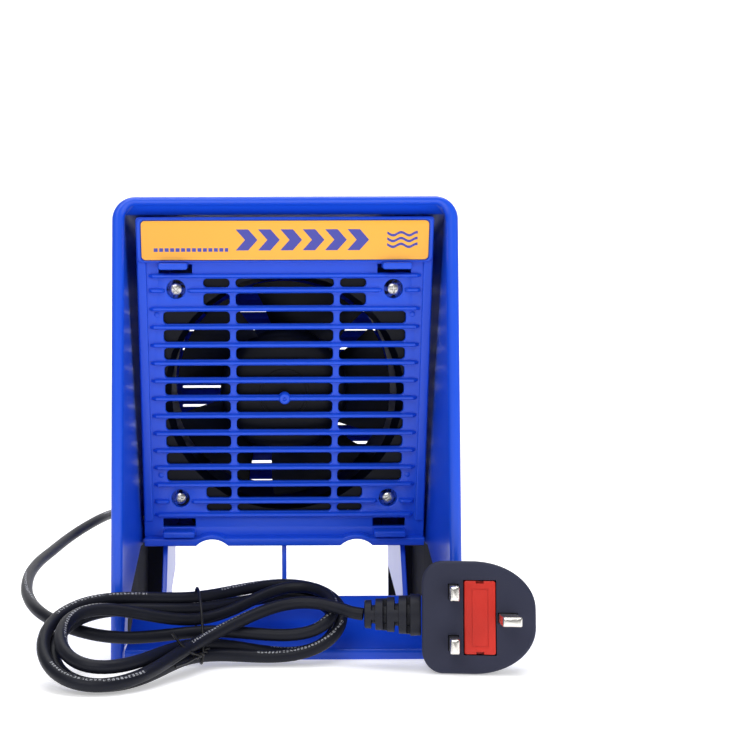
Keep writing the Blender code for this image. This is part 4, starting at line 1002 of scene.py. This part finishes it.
# node, place across and up, section, length, sleeved or not
pinSeats = {"pinLive": ("pin_live", -10.9, plug["drop"], 4.0, 6.35, 17.7, True),
            "pinNeutral": ("pin_neutral", -10.9, -plug["drop"], 4.0, 6.35, 17.7, True),
            "pinEarth": ("pin_earth", 12.4, 0, 8.0, 4.0, 22.7, False)}
plugBody = makePlugBody()


def sleevedPin(sleeve):
    # bright metal past the sleeve's end, black moulded plastic before it
    f = Finish("pin_sleeved" if sleeve else "pin_bare")
    bare = f.split(f.chart("reach"))[0] > (0.53 if sleeve else 0.0)
    lines = f.noise(1.0, 3, f.stretched(f.where(), (700, 60, 700)))
    f.surface(Base_Color=f.mixed(bare, (0.016, 0.016, 0.018), (0.8, 0.77, 0.72)), Metallic=bare,
              Roughness=bare * -0.26 + 0.46 + lines * 0.08, Normal=f.bumped(lines, 0.00002, 0.3))
    return f.material


def makePin(name, node, x, dz, sx, sz, length, sleeve):
    # rounded blade; its tip is drawn in along a quarter circle and the sleeve stands slightly in
    mid = plug["half"] + dz
    a = np.linspace(0, pi / 2, 6)
    y = np.concatenate([[4.6, 0], [-length + 1.6], -length + 1.6 - 1.6 * np.sin(a[1:])])
    cut = np.concatenate([[0, 0, 0], 1.1 * (1 - np.cos(a[1:]))])
    wide, tall = sx / 2 - cut, sz / 2 - cut
    boxes = [roundBox(x - w, x + w, mid - h, mid + h, 0.6, 4) for w, h in zip(wide, tall)]
    rings = upright(boxes, y)[0].reshape(len(y), -1, 3)
    # four more rings along the blade let the sleeve end sharply
    step = [rings[1] * (1 - t) + rings[2] * t for t in (0.25, 0.5, 0.51, 0.75)]
    part = lofted(np.concatenate([rings[:2], step, rings[2:]]))
    mesh = meshOf(name, [placed(part, onPlug)])
    reach = np.clip(-part[0][:, 1] / length, 0, 1)[cornersOf(mesh)]
    writeMap(mesh, "reach", reach, reach)
    return settle(name, mesh, sleevedPin(sleeve), stands=(node,))


pins = [makePin(name, *seat) for name, seat in pinSeats.items()]


def makeCarrier():
    # rounded red block with a notch at each end, a shallow frame on its face and the fuse cradle behind
    mid = plug["half"]
    block = pillow((-6.2, -0.5, mid - 15.9), (7.2, 9.6, mid + 15.9), 0.55)
    cuts = [blockOf((-3.2, 2.4, mid - 13.6), (4.2, 12, mid + 13.6))]
    cuts += [blockOf((-1.2, -2, mid + s * 15.9 - 1.1), (2.2, 2.0, mid + s * 15.9 + 1.1)) for s in (-1, 1)]
    cuts += [blockOf((x, -2, mid - 12.6), (x + 0.45, -0.25, mid + 12.6)) for x in (-3.1, 3.7)]
    cuts += [blockOf((-3.1, -2, mid + z), (4.15, -0.25, mid + z + 0.45)) for z in (-12.6, 12.15)]
    block = seated(carved(block, cuts, "fuseCarrier"))
    return settle("fuseCarrier", block, paint["red"], "carrier", ("fuse_carrier",), 30)


carrierPiece = makeCarrier()


def fuseFinish():
    # ceramic tube with a metal cap at each end, told apart by the run along the tube
    f = Finish("fuse_capped")
    cap = (f.split(f.chart("reach"))[0] - 0.5).math("ABSOLUTE") > 0.27
    grain = f.noise(900, 2)
    f.surface(Base_Color=f.mixed(cap, (0.82, 0.79, 0.72), (0.8, 0.78, 0.74)), Metallic=cap,
              Roughness=cap * -0.2 + 0.42, Normal=f.bumped(grain, 0.00003, 0.4))
    return f.material


def makeFuse():
    # a stepped (radius, height) profile turned about the tube's axis; its UV is the share of the length
    mid, r = plug["half"], 3.15
    z = np.array([-12.7, -12.7, -12.3, -6.9, -6.85, 6.85, 6.9, 12.3, 12.7, 12.7])
    size = np.array([0.02, r - 0.4, r, r, r - 0.15, r - 0.15, r, r, r - 0.4, 0.02])
    a, size = fullTurn(40), size[:, None]
    part = lofted(gathered(0.5 + size * np.cos(a), 6 + size * np.sin(a), (mid + z)[:, None]))
    mesh = meshOf("fuse", [placed(part, onPlug)])
    reach = ((part[0][:, 2] - mid) / 25.4 + 0.5)[cornersOf(mesh)]
    writeMap(mesh, "reach", reach, reach)
    return settle("fuseTube", mesh, fuseFinish(), "carrier", ("fuse",))


fusePiece = makeFuse()


def makeBoot():
    # stepped sleeve: rings of falling radius with gaps between them, each bridged on alternate sides
    x = np.concatenate([[-24.8, -24.8], np.linspace(-25.2, -29.5, 8), np.linspace(-29.6, -49.6, 160),
                        [-50, -50]])
    a = fullTurn(56)
    run = np.clip((-29.5 - x) / 5.2, 0, 3.999)
    ring = np.floor(run)
    part = run - ring
    crest = np.where(x > -29.55, 9.4 - 0.06 * (x + 29.5), 8.7 - 0.72 * ring - 0.25 * part)
    core = 5.5 - 0.42 * run
    dip = ease((0.36 - part) / 0.05) * ease(part / 0.03) * (x < -29.55)
    free = ease((np.abs(np.cos(a + (ring % 2)[:, None] * pi / 2)) - 0.32) / 0.10)
    radius = crest[:, None] - dip[:, None] * free * (crest - core)[:, None]
    radius[0], radius[1] = 0.05, 8.9
    radius[-2], radius[-1] = radius[-3] * 0.93, 0.05
    spots = gathered(x[:, None], 11 + radius * np.cos(a), plug["half"] + radius * np.sin(a))
    part = placed(lofted(spots), onPlug)
    return settle("plugBoot", [part], paint["boot"],
                  stands=("plug_boot",), smooth=45)


bootPiece = makeBoot()
print("plug done")

stage = {"floor": (0.9, 0.9, 0.91), "glow": 0.4, "world": 0.22, "key": 14, "fill": 9, "top": 19, "back": 16}


def makeStage():
    # floor that turns up into a backdrop along a quarter circle
    bend = np.linspace(0, pi / 2, 12)[1:]
    y = np.concatenate([np.linspace(-3, 1.4, 12), 1.4 + 0.8 * np.sin(bend), [2.2]])
    z = np.concatenate([np.zeros(12), 0.8 - 0.8 * np.cos(bend), [3.2]])
    grid = gathered(np.linspace(-3, 3, 13), y[:, None], z[:, None])
    mesh = bpy.data.meshes.new("floor")
    mesh.from_pydata(grid.reshape(-1, 3).tolist(), [], gridFaces(len(y), 13).tolist())
    mesh.shade_smooth()
    f = Finish("floor_paper", Roughness=0.9, Specular_IOR_Level=0.2, Emission_Strength=stage["glow"])
    f.surface(Base_Color=f.mixed(f.noise(3, 2), [c * 0.985 for c in stage["floor"]], stage["floor"]),
              Emission_Color=(1, 1, 1, 1))
    mesh.materials.append(f.material)
    linked("floor", mesh)


def makeLight(name, place, size, power, aim=(0, -0.05, 0.1), mirrored=True):
    lamp = bpy.data.lights.new(name, "AREA")
    lamp.shape = "RECTANGLE"
    lamp.size, lamp.size_y = size
    lamp.energy = power
    obj = linked(name, lamp)
    obj.location = place
    away = np.array(place) - np.array(aim)
    flat = math.hypot(away[0], away[1])
    obj.rotation_euler = (math.atan2(flat, away[2]), 0, math.atan2(away[0], -away[1]))
    obj.visible_glossy = mirrored      # whether glossy surfaces show the lamp itself


makeStage()
makeLight("key", (-0.6, -1.5, 1.2), (1.3, 0.9), stage["key"])
makeLight("fill", (1.3, -1.1, 0.6), (0.8, 1.0), stage["fill"], mirrored=False)
makeLight("top", (0, 0.0, 1.6), (1.6, 1.1), stage["top"])
makeLight("back", (0, 1.2, 1.7), (2.4, 0.6), stage["back"], (0, 2.1, 0.2))
world = bpy.data.worlds.new("studio")
world.use_nodes = True
sky = world.node_tree.nodes["Background"].inputs
sky["Color"].default_value = (1, 1, 1, 1)
sky["Strength"].default_value = stage["world"]
bpy.context.scene.world = world
bpy.context.scene.view_settings.view_transform = "Standard"


print("scene ready")
